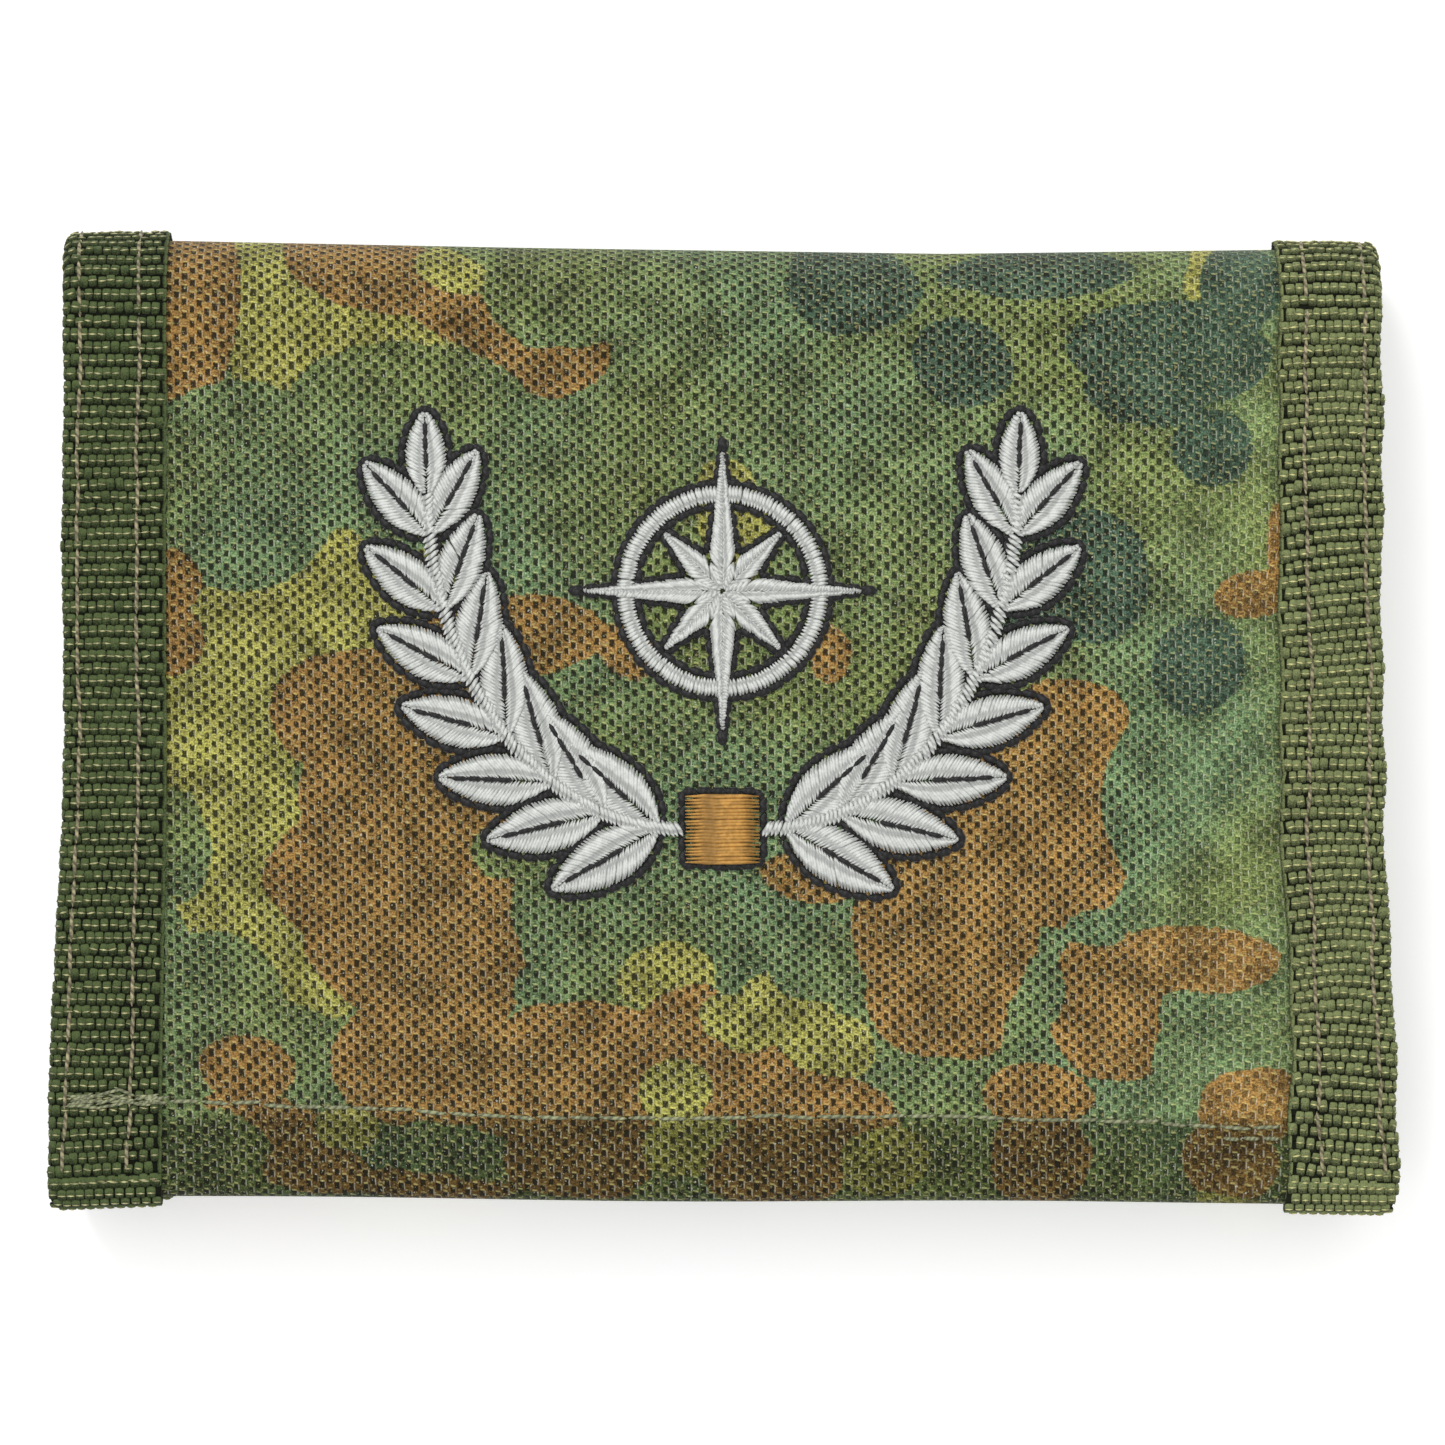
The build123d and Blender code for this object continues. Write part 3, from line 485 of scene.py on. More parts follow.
def camouflage_cloth():
    """Printed nylon: crisp patches, and in each brick of the weave a hole painted dark as shade, a pale
    upright strand beside it and a yellowish crossing strand above it, both painted highlights. The weave
    closes up towards the right edge. Painted light makes the cloth lighter towards the right, and painted
    shade darkens it below the hem line."""
    sh = Shader("camouflage_nylon", roughness=0.6, sheen=0.02, specular=0.12)
    across, along, grain = woven_bricks(sh, *BRICK, skew=0.13, wander=3.0)
    uv = sh.uv()
    x, y, _ = sh.split(uv)
    frayed = sh.swing(uv, 1.6, 0.7, 1.0)
    colour = sh.mix(sh.step(sh.noise(uv, 0.035), 0.35, 0.65), *GREENS)
    for name, tint in PRINTS:
        edge = sh.step(sh.math("ADD", sh.attribute(name), frayed), -0.10, 0.10)
        colour = sh.mix(edge, colour, tint)
    upright = sh.noise(sh.join(sh.times(x, 7.0), sh.times(y, 1.7)), 1.0, 3.0, 0.75)
    level = sh.noise(sh.join(sh.times(x, 1.9), sh.times(y, 8.0)), 1.0, 3.0, 0.75)
    beside = sh.near(along, 0.0, 0.28, 0.46)
    fibre = sh.math("MULTIPLY_ADD", sh.math("SUBTRACT", upright, level), beside, level)
    cloud = sh.noise(uv, 0.22, 2.0)
    shade = sh.math("MULTIPLY_ADD", cloud, 0.4, sh.math("MULTIPLY", fibre, 0.8))
    colour = sh.mix(sh.step(shade, 0.45, 0.76), sh.brighter(colour, 0.40), sh.brighter(colour, 1.75))
    speck = sh.step(sh.noise(uv, 5.0, 1.0), 0.36, 0.64)
    colour = sh.mix(speck, sh.brighter(colour, 0.62), sh.brighter(colour, 1.38))
    # Painted light: the cloth is made up to half again lighter towards the right.
    painted_light_right = sh.times(sh.step(x, -20.0, 50.0), 0.5)
    colour = sh.mix(painted_light_right, colour, sh.brighter(colour, 1.45))
    # Painted shade: the cloth below the hem line is darkened, where the flap curls down away from the light.
    below_hem_shade = sh.step(y, HEM_Y + 7.4, HEM_Y + 5.4)
    colour = sh.mix(below_hem_shade, colour, sh.mix(1.0, colour, (0.37, 0.38, 0.32, 1), "MULTIPLY"))
    # Painted shade: each hole of the weave is near black, less so where the weave closes up.
    ragged = sh.math("MULTIPLY_ADD", grain[2], 0.35, sh.swing(uv, 4.0, 1.5))
    wide, tall = sh.share(across, HOLE[0]), sh.share(along, HOLE[1])
    hole = sh.step(sh.math("ADD", sh.math("MAXIMUM", wide, tall), ragged), 1.55, 0.95)
    closing = sh.math("MULTIPLY_ADD", sh.noise(uv, 0.09), 24.0, x)
    hole = sh.times(hole, sh.math("MULTIPLY_ADD", sh.step(closing, 66.0, 48.0), 0.42, 0.50))
    colour = sh.mix(hole, colour, rgb(18, 18, 8))
    # Painted highlights: the pale upright strand beside each hole and the yellowish crossing strand above it.
    strand = sh.times(sh.near(across, 0.30, 0.04, 0.12), sh.near(along, 0.02, 0.24, 0.44),
                      sh.step(grain[0], 0.0, 0.7), 0.62)
    colour = sh.mix(strand, colour, sh.mix(0.5, sh.brighter(colour, 1.9), rgb(206, 206, 190)))
    pick = sh.times(sh.near(along, 0.45, 0.05, 0.14), sh.near(across, 0.02, 0.15, 0.31),
                    sh.step(grain[1], 0.0, 0.6), 0.66)
    colour = sh.mix(pick, colour, sh.mix(0.5, sh.brighter(colour, 1.9), rgb(214, 208, 136)))
    for size, low, high, tint in SPARKS:
        spark = sh.times(sh.step(sh.noise(uv, size, 1.0), low, high), 0.5)
        colour = sh.mix(spark, colour, tint)
    sh.colour(colour)
    raised = sh.math("SUBTRACT", sh.math("MULTIPLY", sh.math("ADD", strand, pick), 0.7), hole)
    sh.bump(sh.math("MULTIPLY_ADD", fibre, 0.5, raised), 0.16, 1.0)
    return sh.material


def plain_cloth(name, tint, warp=0.45, weft=0.42, rough=0.7, sheen=0.2):
    """Fine plain nylon for lining and pockets, painted darker in the holes of its weave as shade."""
    sh = Shader(name, rough, sheen=sheen)
    cross = weave(sh, warp, weft, drift=0.2)
    shade = sh.noise(sh.uv(), 0.12, 3.0)
    colour = sh.mix(sh.step(shade, 0.3, 0.7), scaled(tint, 0.72), scaled(tint, 1.3))
    # Painted shade: darker in the holes of the weave.
    colour = sh.mix(sh.step(cross, -0.4, -1.0), colour, scaled(tint, 0.35))
    sh.colour(colour)
    sh.bump(cross, 0.08, 0.7)
    return sh.material


def tape_cloth(name, tint, gap):
    """Edge tape: gaps between raised yarns painted dark as shade, each yarn painted paler above and darker
    below as light and shade, with fine fibres.
    """
    sh = Shader(name, 0.75, sheen=0.02, specular=0.12)
    crown, fall = sh.attribute("crown"), sh.attribute("fall")
    shade = sh.noise(sh.place(), 380.0, 3.0, 0.7)
    fibre = sh.noise(sh.place(), 6500.0, 2.0, 0.7)
    value = sh.math("MULTIPLY_ADD", fibre, 1.3, sh.math("MULTIPLY_ADD", shade, 0.5, -0.15))
    # Painted shade: each yarn is darker on its lower side, away from the light.
    value = sh.math("MULTIPLY_ADD", fall, -0.30, value)
    colour = sh.mix(sh.step(value, 0.34, 1.10), scaled(tint, 0.30), scaled(tint, 2.1))
    # Painted shade: the underside and foot of each yarn take the near-black gap colour.
    colour = sh.mix(sh.step(crown, 0.26, 0.0), colour, gap)
    sh.colour(colour)
    sh.bump(fibre, 0.08, 0.9)
    return sh.material


def tape_ground(name, tint, gap):
    """The band under the raised yarns: painted dark as shade where they cover it, and a flat ribbed weave on
    the leg inside the wallet, where crown is 1, with painted shade in the gaps between its yarns."""
    sh = Shader(name, 0.8, sheen=0.02, specular=0.12)
    across, along, grain = woven_bricks(sh, COLUMN, RIB, skew=0.0, wander=0.6)
    wide, tall = sh.share(across, COLUMN / 2), sh.share(along, RIB / 2)
    yarn = sh.step(sh.math("MAXIMUM", wide, tall), 1.02, 0.62)
    fibre = sh.noise(sh.place(), 6500.0, 2.0, 0.7)
    value = sh.math("MULTIPLY_ADD", grain[0], 0.3, fibre)
    colour = sh.mix(sh.step(value, 0.3, 1.0), sh.brighter(tint, 0.5), sh.brighter(tint, 1.6))
    pale = sh.times(sh.near(along, 0.0, 0.06, 0.14), sh.step(wide, 1.0, 0.6), 0.5)
    colour = sh.mix(pale, colour, rgb(150, 146, 104))
    # Painted shade: the gap colour under the raised yarns, and between the flat yarns on the inner leg.
    colour = sh.mix(sh.times(yarn, sh.attribute("crown")), gap, colour)
    sh.colour(colour)
    sh.bump(yarn, 0.22, 1.0)
    return sh.material


def thread(name, tint, twist=18.0, rough=0.5, sheen=0.1, spread=0.25, groove=0.5):
    """Twisted thread: U runs along the strand and V round it. groove sets how dark the grooves of its twist
    are painted, as shade.
    """
    sh = Shader(name, rough, sheen=sheen, specular=0.3)
    u, v, _ = sh.split(sh.uv())
    ply = sh.math("SINE", sh.math("MULTIPLY_ADD", u, twist, sh.math("MULTIPLY", v, 2 * math.pi)))
    shade = sh.noise(sh.place(), 1600.0, 3.0, 0.7)
    colour = sh.mix(sh.step(shade, 0.3, 0.7), scaled(tint, 1 - spread), scaled(tint, 1 + spread))
    # Painted shade: darker in the grooves of the twist.
    colour = sh.mix(sh.times(sh.step(ply, 0.2, -0.9), groove), colour, scaled(tint, 0.25))
    sh.colour(colour)
    sh.bump(ply, 0.05, 0.8)
    return sh.material


def metal(name, tint):
    """Dark plated metal, worn paler in places."""
    sh = Shader(name, 0.4, metallic=0.6)
    wear = sh.noise(sh.place(), 700.0, 4.0)
    sh.colour(sh.mix(sh.step(wear, 0.58, 0.75), tint, rgb(120, 120, 112)))
    sh.bump(sh.noise(sh.place(), 2500.0), 0.02, 0.4)
    return sh.material


def clear_film(name):
    """Clear sheet, lightly scuffed."""
    sh = Shader(name, 0.12)
    sh.surface.inputs["IOR"].default_value = 1.45
    sh.surface.inputs["Alpha"].default_value = 0.12
    scuff = sh.noise(sh.place(), 60.0, 3.0, 0.6)
    sh.colour(sh.mix(sh.step(scuff, 0.55, 0.75), rgb(170, 178, 164), rgb(226, 230, 222)))
    sh.rough(sh.step(scuff, 0.2, 2.2))
    sh.bump(sh.noise(sh.place(), 28.0, 1.0), 0.4, 0.12)
    return sh.material


FINISH = {
    "shell": camouflage_cloth(),
    "lining": plain_cloth("lining_nylon", rgb(66, 74, 50)),
    "pocket": plain_cloth("pocket_nylon", rgb(78, 86, 58)),
    # The left edge's tape, band, gaps and picks have darker tints than the right's, on one kind of tape:
    # painted shade on the left edge, painted light on the right.
    "tape_left": tape_cloth("edge_tape_left", rgb(58, 68, 40), rgb(16, 19, 9)),
    "tape_right": tape_cloth("edge_tape_right", rgb(88, 95, 62), rgb(24, 28, 13)),
    "ground_left": tape_ground("edge_tape_ground_left", rgb(62, 72, 42), rgb(16, 19, 9)),
    "ground_right": tape_ground("edge_tape_ground_right", rgb(76, 84, 50), rgb(20, 24, 11)),
    "ribbon": plain_cloth("inner_binding", rgb(60, 68, 46), 0.8, 0.5),
    "tape_thread": thread("tape_thread", rgb(142, 134, 104), 22.0, spread=0.5, groove=0.8),
    "pick_left": thread("tape_pick_left", rgb(168, 164, 120), 3.0, spread=0.6, groove=0.0),
    "pick_right": thread("tape_pick_right", rgb(186, 182, 126), 3.0, spread=0.6, groove=0.0),
    "hem_thread": thread("hem_thread", rgb(138, 142, 108), 22.0, spread=0.4, groove=0.7),
    "pale": thread("pale_thread", rgb(198, 200, 196), 10.0, 0.36, 0.05, 0.14),
    "border": thread("dark_thread", rgb(26, 26, 26), 12.0, 0.5, 0.2),
    "ochre": thread("ochre_thread", rgb(178, 132, 62), 10.0),
    "zip_tape": plain_cloth("zip_tape", rgb(60, 66, 46), 0.7, 0.4),
    "zip_coil": thread("zip_coil", rgb(58, 64, 44), 4.0, 0.4),
    "zip_metal": metal("zip_metal", rgb(60, 62, 54)),
    "film": clear_film("clear_vinyl"),
    "hook": plain_cloth("hook_tape", rgb(52, 60, 40), 0.6, 0.6, 0.8, 0.1),
    "loop": plain_cloth("loop_tape", rgb(58, 66, 44), 0.6, 0.6, 0.85, 0.3),
    "hook_yarn": thread("hook_yarn", rgb(78, 88, 60), 3.0, 0.35, spread=0.3, groove=0.0),
    "loop_yarn": thread("loop_yarn", rgb(92, 100, 70), 3.0, 0.8, 0.3, 0.4, groove=0.0),
    "inside_thread": thread("inside_thread", rgb(104, 112, 80), 20.0, spread=0.3),
}

# ---- repeated pieces, by Geometry Nodes ----------------------------------------------------------


def repeat_tree():
    """Places a piece on every point, turned by the attribute turn and sized by the attribute size."""
    tree = bpy.data.node_groups.new("place_on_points", "GeometryNodeTree")
    for name, way, kind in (("Geometry", "INPUT", "Geometry"), ("Piece", "INPUT", "Object"),
                            ("Swell", "INPUT", "Float"), ("Material", "INPUT", "Material"),
                            ("Geometry", "OUTPUT", "Geometry")):
        tree.interface.new_socket(name, in_out=way, socket_type="NodeSocket" + kind)
    new = tree.nodes.new
    start, end = new("NodeGroupInput"), new("NodeGroupOutput")
    piece = new("GeometryNodeObjectInfo")
    place = new("GeometryNodeInstanceOnPoints")
    turn, size = new("GeometryNodeInputNamedAttribute"), new("GeometryNodeInputNamedAttribute")
    for node, name in ((turn, "turn"), (size, "size")):
        node.data_type = "FLOAT_VECTOR"
        node.inputs["Name"].default_value = name
    euler = new("FunctionNodeEulerToRotation")
    swell = new("ShaderNodeVectorMath")
    swell.operation = "SCALE"
    real, paint = new("GeometryNodeRealizeInstances"), new("GeometryNodeSetMaterial")
    for source, output, target, entry in (
            (start, "Geometry", place, "Points"), (start, "Piece", piece, "Object"),
            (piece, "Geometry", place, "Instance"), (turn, "Attribute", euler, "Euler"),
            (euler, "Rotation", place, "Rotation"), (size, "Attribute", swell, 0),
            (start, "Swell", swell, "Scale"), (swell, "Vector", place, "Scale"),
            (place, "Instances", real, "Geometry"), (real, "Geometry", paint, "Geometry"),
            (start, "Material", paint, "Material"), (paint, "Geometry", end, "Geometry")):
        tree.links.new(source.outputs[output], target.inputs[entry])
    return tree


REPEAT = repeat_tree()


def small_piece(name, verts, faces, section):
    """Piece to repeat: a tube of rings with so many points each, closed at both ends."""
    last = len(verts) - 1
    mesh = bpy.data.meshes.new(name)
    mesh.from_pydata(verts, [], faces + [tuple(range(section)), tuple(range(last, last - section, -1))])
    mesh.uv_layers.new(name="UVMap")
    face_out(mesh)
    mesh.polygons.foreach_set("use_smooth", [True] * len(mesh.polygons))
    return bpy.data.objects.new(name, mesh)


def template(name, section, rings, arch=0.0, blunt=0.5, boxy=1.0, crowd=1.0):
    """Unit strand along X, from -0.5 to 0.5, thick 1 by 1, rounded at its ends, with its middle arched.
    boxy and crowd below 1 give it a squarer section and squarer ends."""
    t = np.linspace(-1, 1, rings)
    swell = (1 - np.abs(t) ** (2 / blunt)) ** 0.5
    swell[[0, -1]] = 0.25 if crowd == 1 else 0.55
    t = np.sign(t) * np.abs(t) ** crowd
    angle = np.linspace(0, 2 * math.pi, section, endpoint=False)

    def squared(value):
        return math.copysign(abs(value) ** boxy, value)

    verts = [(tt / 2, w / 2 * squared(math.cos(a)), w / 2 * squared(math.sin(a)) + arch * (1 - tt * tt))
             for tt, w in zip(t, swell) for a in angle]
    faces = [tuple(f) for f in grid_faces(rings, section, close=True)]
    piece = small_piece(name, verts, faces, section)
    for loop in piece.data.loops:
        along = piece.data.vertices[loop.vertex_index].co.x + 0.5
        piece.data.uv_layers[0].data[loop.index].uv = (along, (loop.vertex_index % section) / section)
    fields = {"crown": [max(0.0, v[2]) * 2 for v in verts], "fall": [v[1] * 2 for v in verts]}
    for key, values in fields.items():
        piece.data.attributes.new(key, "FLOAT", "POINT").data.foreach_set("value", values)
    return piece


BEAD = template("bead_template", 8, 5, blunt=0.5, boxy=0.62, crowd=0.32)
STRAND = template("strand_template", 6, 5, blunt=0.35)
STITCH = template("stitch_template", 8, 9, arch=0.12, blunt=0.6)
DASH = template("dash_template", 4, 3, arch=0.1)


def bent_template(name, line, radius):
    """Short thread along a bent line in the XZ plane, square in section."""
    verts = [(x, dy, z + dz) for x, z in line
             for dy, dz in ((-radius, 0), (0, -radius), (radius, 0), (0, radius))]
    return small_piece(name, verts, [tuple(f) for f in grid_faces(len(line), 4, close=True)], 4)


HOOK = bent_template("hook_template", [(0, 0), (0.0, 0.5), (0.1, 0.85), (0.35, 0.95), (0.5, 0.7)], 0.12)
LOOP = bent_template("loop_template", [(-0.5, 0), (-0.4, 0.6), (0, 0.9), (0.4, 0.6), (0.5, 0)], 0.06)


def turn_to(along, up):
    """Euler angles that turn X to along and Z to up."""
    z = Vector(up).normalized()
    x = Vector(along)
    x = (x - z * x.dot(z)).normalized()
    y = z.cross(x)
    from_axes = [(x[i], y[i], z[i]) for i in range(3)]
    return Matrix(from_axes).to_euler("XYZ")


def place_many(name, piece, material, places):
    """One plain mesh of the piece at every place: (point, along, up, size), in millimetres."""
    mesh = bpy.data.meshes.new(name + "_points")
    mesh.from_pydata([tuple(np.asarray(p[0]) * MM) for p in places], [], [])
    turns = np.array([tuple(turn_to(p[1], p[2])) for p in places], np.float32)
    sizes = np.array([p[3] for p in places], np.float32) * MM
    for key, values in (("turn", turns), ("size", sizes)):
        mesh.attributes.new(key, "FLOAT_VECTOR", "POINT").data.foreach_set("vector", values.ravel())
    holder = link(bpy.data.objects.new(name + "_points", mesh))
    modifier = holder.modifiers.new("repeat", "NODES")
    modifier.node_group = REPEAT
    items = REPEAT.interface.items_tree
    sockets = {item.name: item.identifier for item in items if item.in_out == "INPUT"}
    modifier[sockets["Piece"]] = piece
    modifier[sockets["Swell"]] = 1.0
    modifier[sockets["Material"]] = material
    bpy.context.view_layer.update()
    solid = bpy.data.meshes.new_from_object(holder.evaluated_get(bpy.context.evaluated_depsgraph_get()))
    bpy.data.objects.remove(holder)
    solid.name = name
    return link(bpy.data.objects.new(name, solid))


def soft_places(places):
    """The places moved with the flap's unevenness."""
    points = soften(np.array([p[0] for p in places]))
    return [(q, *p[1:]) for q, p in zip(points, places)]


def join_pieces(name, pieces):
    """Joins plain mesh objects into the first one."""
    if len(pieces) > 1:
        with bpy.context.temp_override(active_object=pieces[0], selected_editable_objects=pieces):
            bpy.ops.object.join()
    pieces[0].name = name
    return pieces[0]


# ---- the strip's layers --------------------------------------------------------------------------


def bend(piece, stretch):
    """Bakes the piece's place into its mesh; the ends of its stretch's crease are looked up but not used."""
    s0, s1 = BENDS[stretch]
    (y0, y1), (z0, z1) = [strip([s0, s1], 0.0)[i] for i in (0, 1)]
    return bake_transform(piece)


def places_along(start, end, step):
    """Even places from start to end, about a step apart."""
    return np.linspace(start, end, max(2, int(round(abs(end - start) / step)) + 1))


FINE_STEP = 0.4                 # at most this between rows of a mesh where it turns round a hem


def strip_rows(start, end, step):
    """Places along the strip, closer together in the tight turns."""
    marks = [start]
    tight = [(HEM_Y - HALF_TURN, HEM_Y), (INNER_HEM_S, INNER_HEM_S + HALF_TURN)]
    while marks[-1] < end - 1e-6:
        s = marks[-1]
        fine = any(a - 0.5 <= s <= b for a, b in tight)
        marks.append(min(end, s + (min(step, FINE_STEP) if fine else step)))
    return np.array(marks)


def make_shell(stretch):
    """Printed cloth of one stretch, finely meshed on the flap, where its print shows most."""
    s0, s1, _, covers = STRETCHES[stretch]
    step = 0.55 if stretch == "flap" else 0.9
    xs, ss = np.linspace(0, 1, int(2 * HALF / step)), strip_rows(s0, s1, step)
    piece = cloth_slab(f"cloth_{stretch}", xs, ss, 0, SHELL, FINISH["shell"], paint_it=True)
    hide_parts(*[f"shell_{c}" for c in covers])
    return bend(piece, stretch)


def make_lining(stretch):
    """Lining of one stretch; it stops inside the turns of the hems."""
    s0, s1, _, covers = STRETCHES[stretch]
    s0, s1 = max(s0, HEM_Y), min(s1, INNER_HEM_S)
    piece = cloth_slab(f"lining_cloth_{stretch}", np.linspace(0, 1, 60), places_along(s0, s1, 1.6),
                       LINING_DEPTH, LINING, FINISH["lining"], inset=0.95)
    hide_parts(*[f"lining_{c}" for c in covers])
    return bend(piece, stretch)


def tape_path(outer, inner, face, steps=12):
    """Outside of the folded tape: (distance in from the bound edge, depth, normal), top inner edge first."""
    radius = min(0.9, (inner - outer) / 2)
    path = [(e, outer, 0.0, -1.0) for e in np.linspace(face, radius, steps)]
    quarter = np.linspace(0, math.pi / 2, 5)
    for centre, angles in ((outer + radius, quarter[1:]), (inner - radius, quarter[:-1] + math.pi / 2)):
        path += [(radius - radius * math.sin(a), centre - radius * math.cos(a), -math.sin(a), -math.cos(a))
                 for a in angles]
    path += [(e, inner, 0.0, 1.0) for e in np.linspace(radius, face, steps)]
    return np.array(path)


def run_along(line):
    """Length from the start of a line to each of its points."""
    return np.concatenate([[0], np.cumsum(np.linalg.norm(np.diff(line, axis=0), axis=1))])


def on_edge(side, s, e, d):
    """Point at a distance e in from the bound edge, at depth d."""
    y, z = strip(s, d)[:2]
    x = side * (half_width(s) - e)
    return np.stack(np.broadcast_arrays(x, y, z), -1)


INNER_LEG = 14                  # last points of the tape's outside: its inner leg and the turn's end


def tape_mesh(name, side, ss, outer, inner, leg, face, material):
    """Folded tape swept along the strip, as a closed skin."""
    path = tape_path(outer, inner, face)
    inside = tape_path(outer + leg, inner - leg, face)
    inside[:, 0] = np.maximum(inside[:, 0], leg)
    loop = np.concatenate([path, inside[::-1]])
    rings = [on_edge(side, np.full(len(loop), s), loop[:, 0], loop[:, 1]) for s in ss]
    verts = soften(np.concatenate(rings))
    rows, columns = len(ss), len(loop)
    faces = [tuple(f) for f in grid_faces(rows, columns, close=True)]
    for base in (0, (rows - 1) * columns):
        faces += [(base + i, base + i + 1, base + columns - 2 - i, base + columns - 1 - i)
                  for i in range(len(path) - 1)]
    uvs = np.stack([np.tile(run_along(loop[:, :2]), rows), np.repeat(ss, columns)], -1)
    place = np.arange(columns)
    inner_leg = (place >= len(path) - INNER_LEG) & (place < len(path))
    return mesh_object(name, verts, faces, material, uvs, {"crown": np.tile(inner_leg * 1.0, rows)})


SEAMS = (1.45, 7.3)             # distance of the two rows of stitches from the bound edge
BAND_SUNK = 0.16                # how far the band lies under the tape's outer face
PICK = 0.20                     # thickness of a pale pick
PICK_SHARE = 0.9                # share of the yarns that show their pick
SELVEDGE = 0.44                 # thickness of the yarn along the tape's inner edge


def yarn_at(side, s, e, d, up_e, up_d, rng):
    """Place of one raised yarn: point, direction across the tape and outward normal."""
    y, z, ny, nz = (float(v) for v in strip(s, d))
    point = np.array([side * (half_width(s) - e), y, z])
    up = np.array([-side * up_e, -up_d * ny, -up_d * nz])
    ahead = on_edge(side, s + 0.3, e, d) - on_edge(side, s, e, d)
    return point, np.cross(up, ahead) + rng.normal(0, 0.03, 3), up


def tape_ribs(name, side, s0, s1, outer, inner, face, material, seed):
    """Raised yarns of the tape in brick bond, over its outer leg and round the bound edge, with pale
    picks across their crowns and a smooth yarn along the tape's inner edge."""
    rng = np.random.default_rng(seed)
    path = tape_path(outer, inner, face, 24)
    steps = run_along(path[:, :2])
    reach = face + (inner - outer) * 0.9
    gather = 1.0 if side > 0 else 0.25
    yarns, picks = [], []
    for row, s in enumerate(np.arange(s0, s1, RIB)):
        fan = gather * float(ripple(np.array(s / 6.0), np.array(0.0), 35 + side))
        bow = 0.75 * gather * float(ripple(np.array(s / 4.0), np.array(9.0), 37 + side))
        for t in np.arange(0.5 + (row % 2) * COLUMN / 2, reach, COLUMN):
            e, d, ne, nd = (np.interp(t, steps, path[:, k]) for k in range(4))
            across = min(1.0, t / face)
            lag = fan * (1 - across) + bow * math.sin(across * math.pi) + rng.normal(0, 0.04)
            where = min(max(s + lag, s0), s1)
            point, along, up = yarn_at(side, where, e + rng.normal(0, 0.03), d, ne, nd, rng)
            sunk = 0.72 if min(abs(e - seam) for seam in SEAMS) < 0.4 and nd < 0 else 1.0
            size = (COLUMN * rng.normal(0.98, 0.05), RIB * rng.normal(1.08, 0.05) * sunk,
                    0.50 * sunk * rng.normal(1, 0.14))
            yarns.append((point, along, up, size))
            if rng.random() < PICK_SHARE:
                pick = (COLUMN * rng.uniform(0.75, 1.05), PICK, PICK)
                picks.append((point + up * size[2] * 0.5, along, up, pick))
        point, along, up = yarn_at(side, min(max(s + fan, s0), s1), face - 0.05, outer, 0.0, -1.0, rng)
        yarns.append((point, np.cross(along, up), up, (RIB * 1.06, SELVEDGE, SELVEDGE)))
    parts = [place_many(name, BEAD, material, soft_places(yarns))]
    tint = "pick_right" if side > 0 else "pick_left"
    parts.append(place_many(name + "_picks", DASH, FINISH[tint], soft_places(picks)))
    return join_pieces(name, parts)


def stitch_line(name, points, up, pitch, width, material, gap=0.18, seed=1):
    """Running stitches along a line of points. up is a normal for each point."""
    rng = np.random.default_rng(seed)
    points, up = np.asarray(points, float), np.asarray(up, float)
    run = run_along(points)
    places, t = [], 0.2
    while t + pitch < run[-1]:
        length = pitch * rng.uniform(0.88, 1.12)
        end = t + length * (1 - gap)
        a, b, n = (np.array([np.interp(at, run, line[:, k]) for k in range(3)])
                   for at, line in ((t, points), (end, points), (t, up)))
        side = np.cross(n, b - a)
        lean = side / np.linalg.norm(side) * rng.normal(0, 0.05)
        size = (np.linalg.norm(b - a), width, width * 0.8)
        places.append(((a + b) / 2 + lean, b - a + lean * 2, n, size))
        t += length
    return place_many(name, STITCH, material, places)


def make_tape(stretch, side):
    """One edge's folded tape on one stretch: the band, its ribs and two rows of stitches."""
    s0, s1, _, covers = STRETCHES[stretch]
    name = "right" if side > 0 else "left"
    material, ground = FINISH[f"tape_{name}"], FINISH[f"ground_{name}"]
    s0, s1 = max(s0, HEM_Y), min(s1, INNER_HEM_S)
    outer = -TAPE + BAND_SUNK
    inner = LINING_DEPTH + LINING + TAPE if side > 0 else SHELL + TAPE - 0.1
    label = f"tape_{name}_{stretch}"
    parts = [tape_mesh(label, side, places_along(s0, s1, 1.0), outer, inner, 0.5, TAPE_FACE, ground),
             tape_ribs(label + "_ribs", side, s0, s1, outer, inner, TAPE_FACE - 0.1, material, 31 + side)]
    ends = {"flap": (HEM_Y, FLAP_Z - HEM_R, HEM_Y - HEM_LENGTH, HEM_Y),
            "inner": (INNER_HEM_Y, INNER_Z - HEM_R, INNER_HEM_S, INNER_HEM_S + HEM_LENGTH)}
    if stretch in ends:
        parts.append(hem_end(label + "_end", side, material, *ends[stretch]))
    tape = join_pieces(label, parts)
    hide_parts(*[f"edge_tape_{name}_{c}" for c in covers])
    bend(tape, stretch)
    for row, e in zip(("edge", "face"), SEAMS):
        line = places_along(s0 + 1, s1, 0.6)
        wobble = 0.18 * ripple(line / 5, line / 9, 40 + side) * (1.6 if side > 0 else 1.0)
        points = np.array([on_edge(side, s, e + w, -TAPE - 0.02) for s, w in zip(line, wobble)])
        ny, nz = strip(line, 0)[2:]
        stitches = stitch_line(f"stitches_{row}_{name}_{stretch}", soften(points),
                               np.stack([0 * ny, ny, nz], -1), 3.2, 0.40, FINISH["tape_thread"],
                               gap=0.04, seed=50 + side)
        bend(stitches, stretch)
    return tape


EDGE_DROP = 0.3                 # how steeply a turned tape's end falls away at the bound edge
EDGE_REACH = 1.2                # how far in from the bound edge it starts to


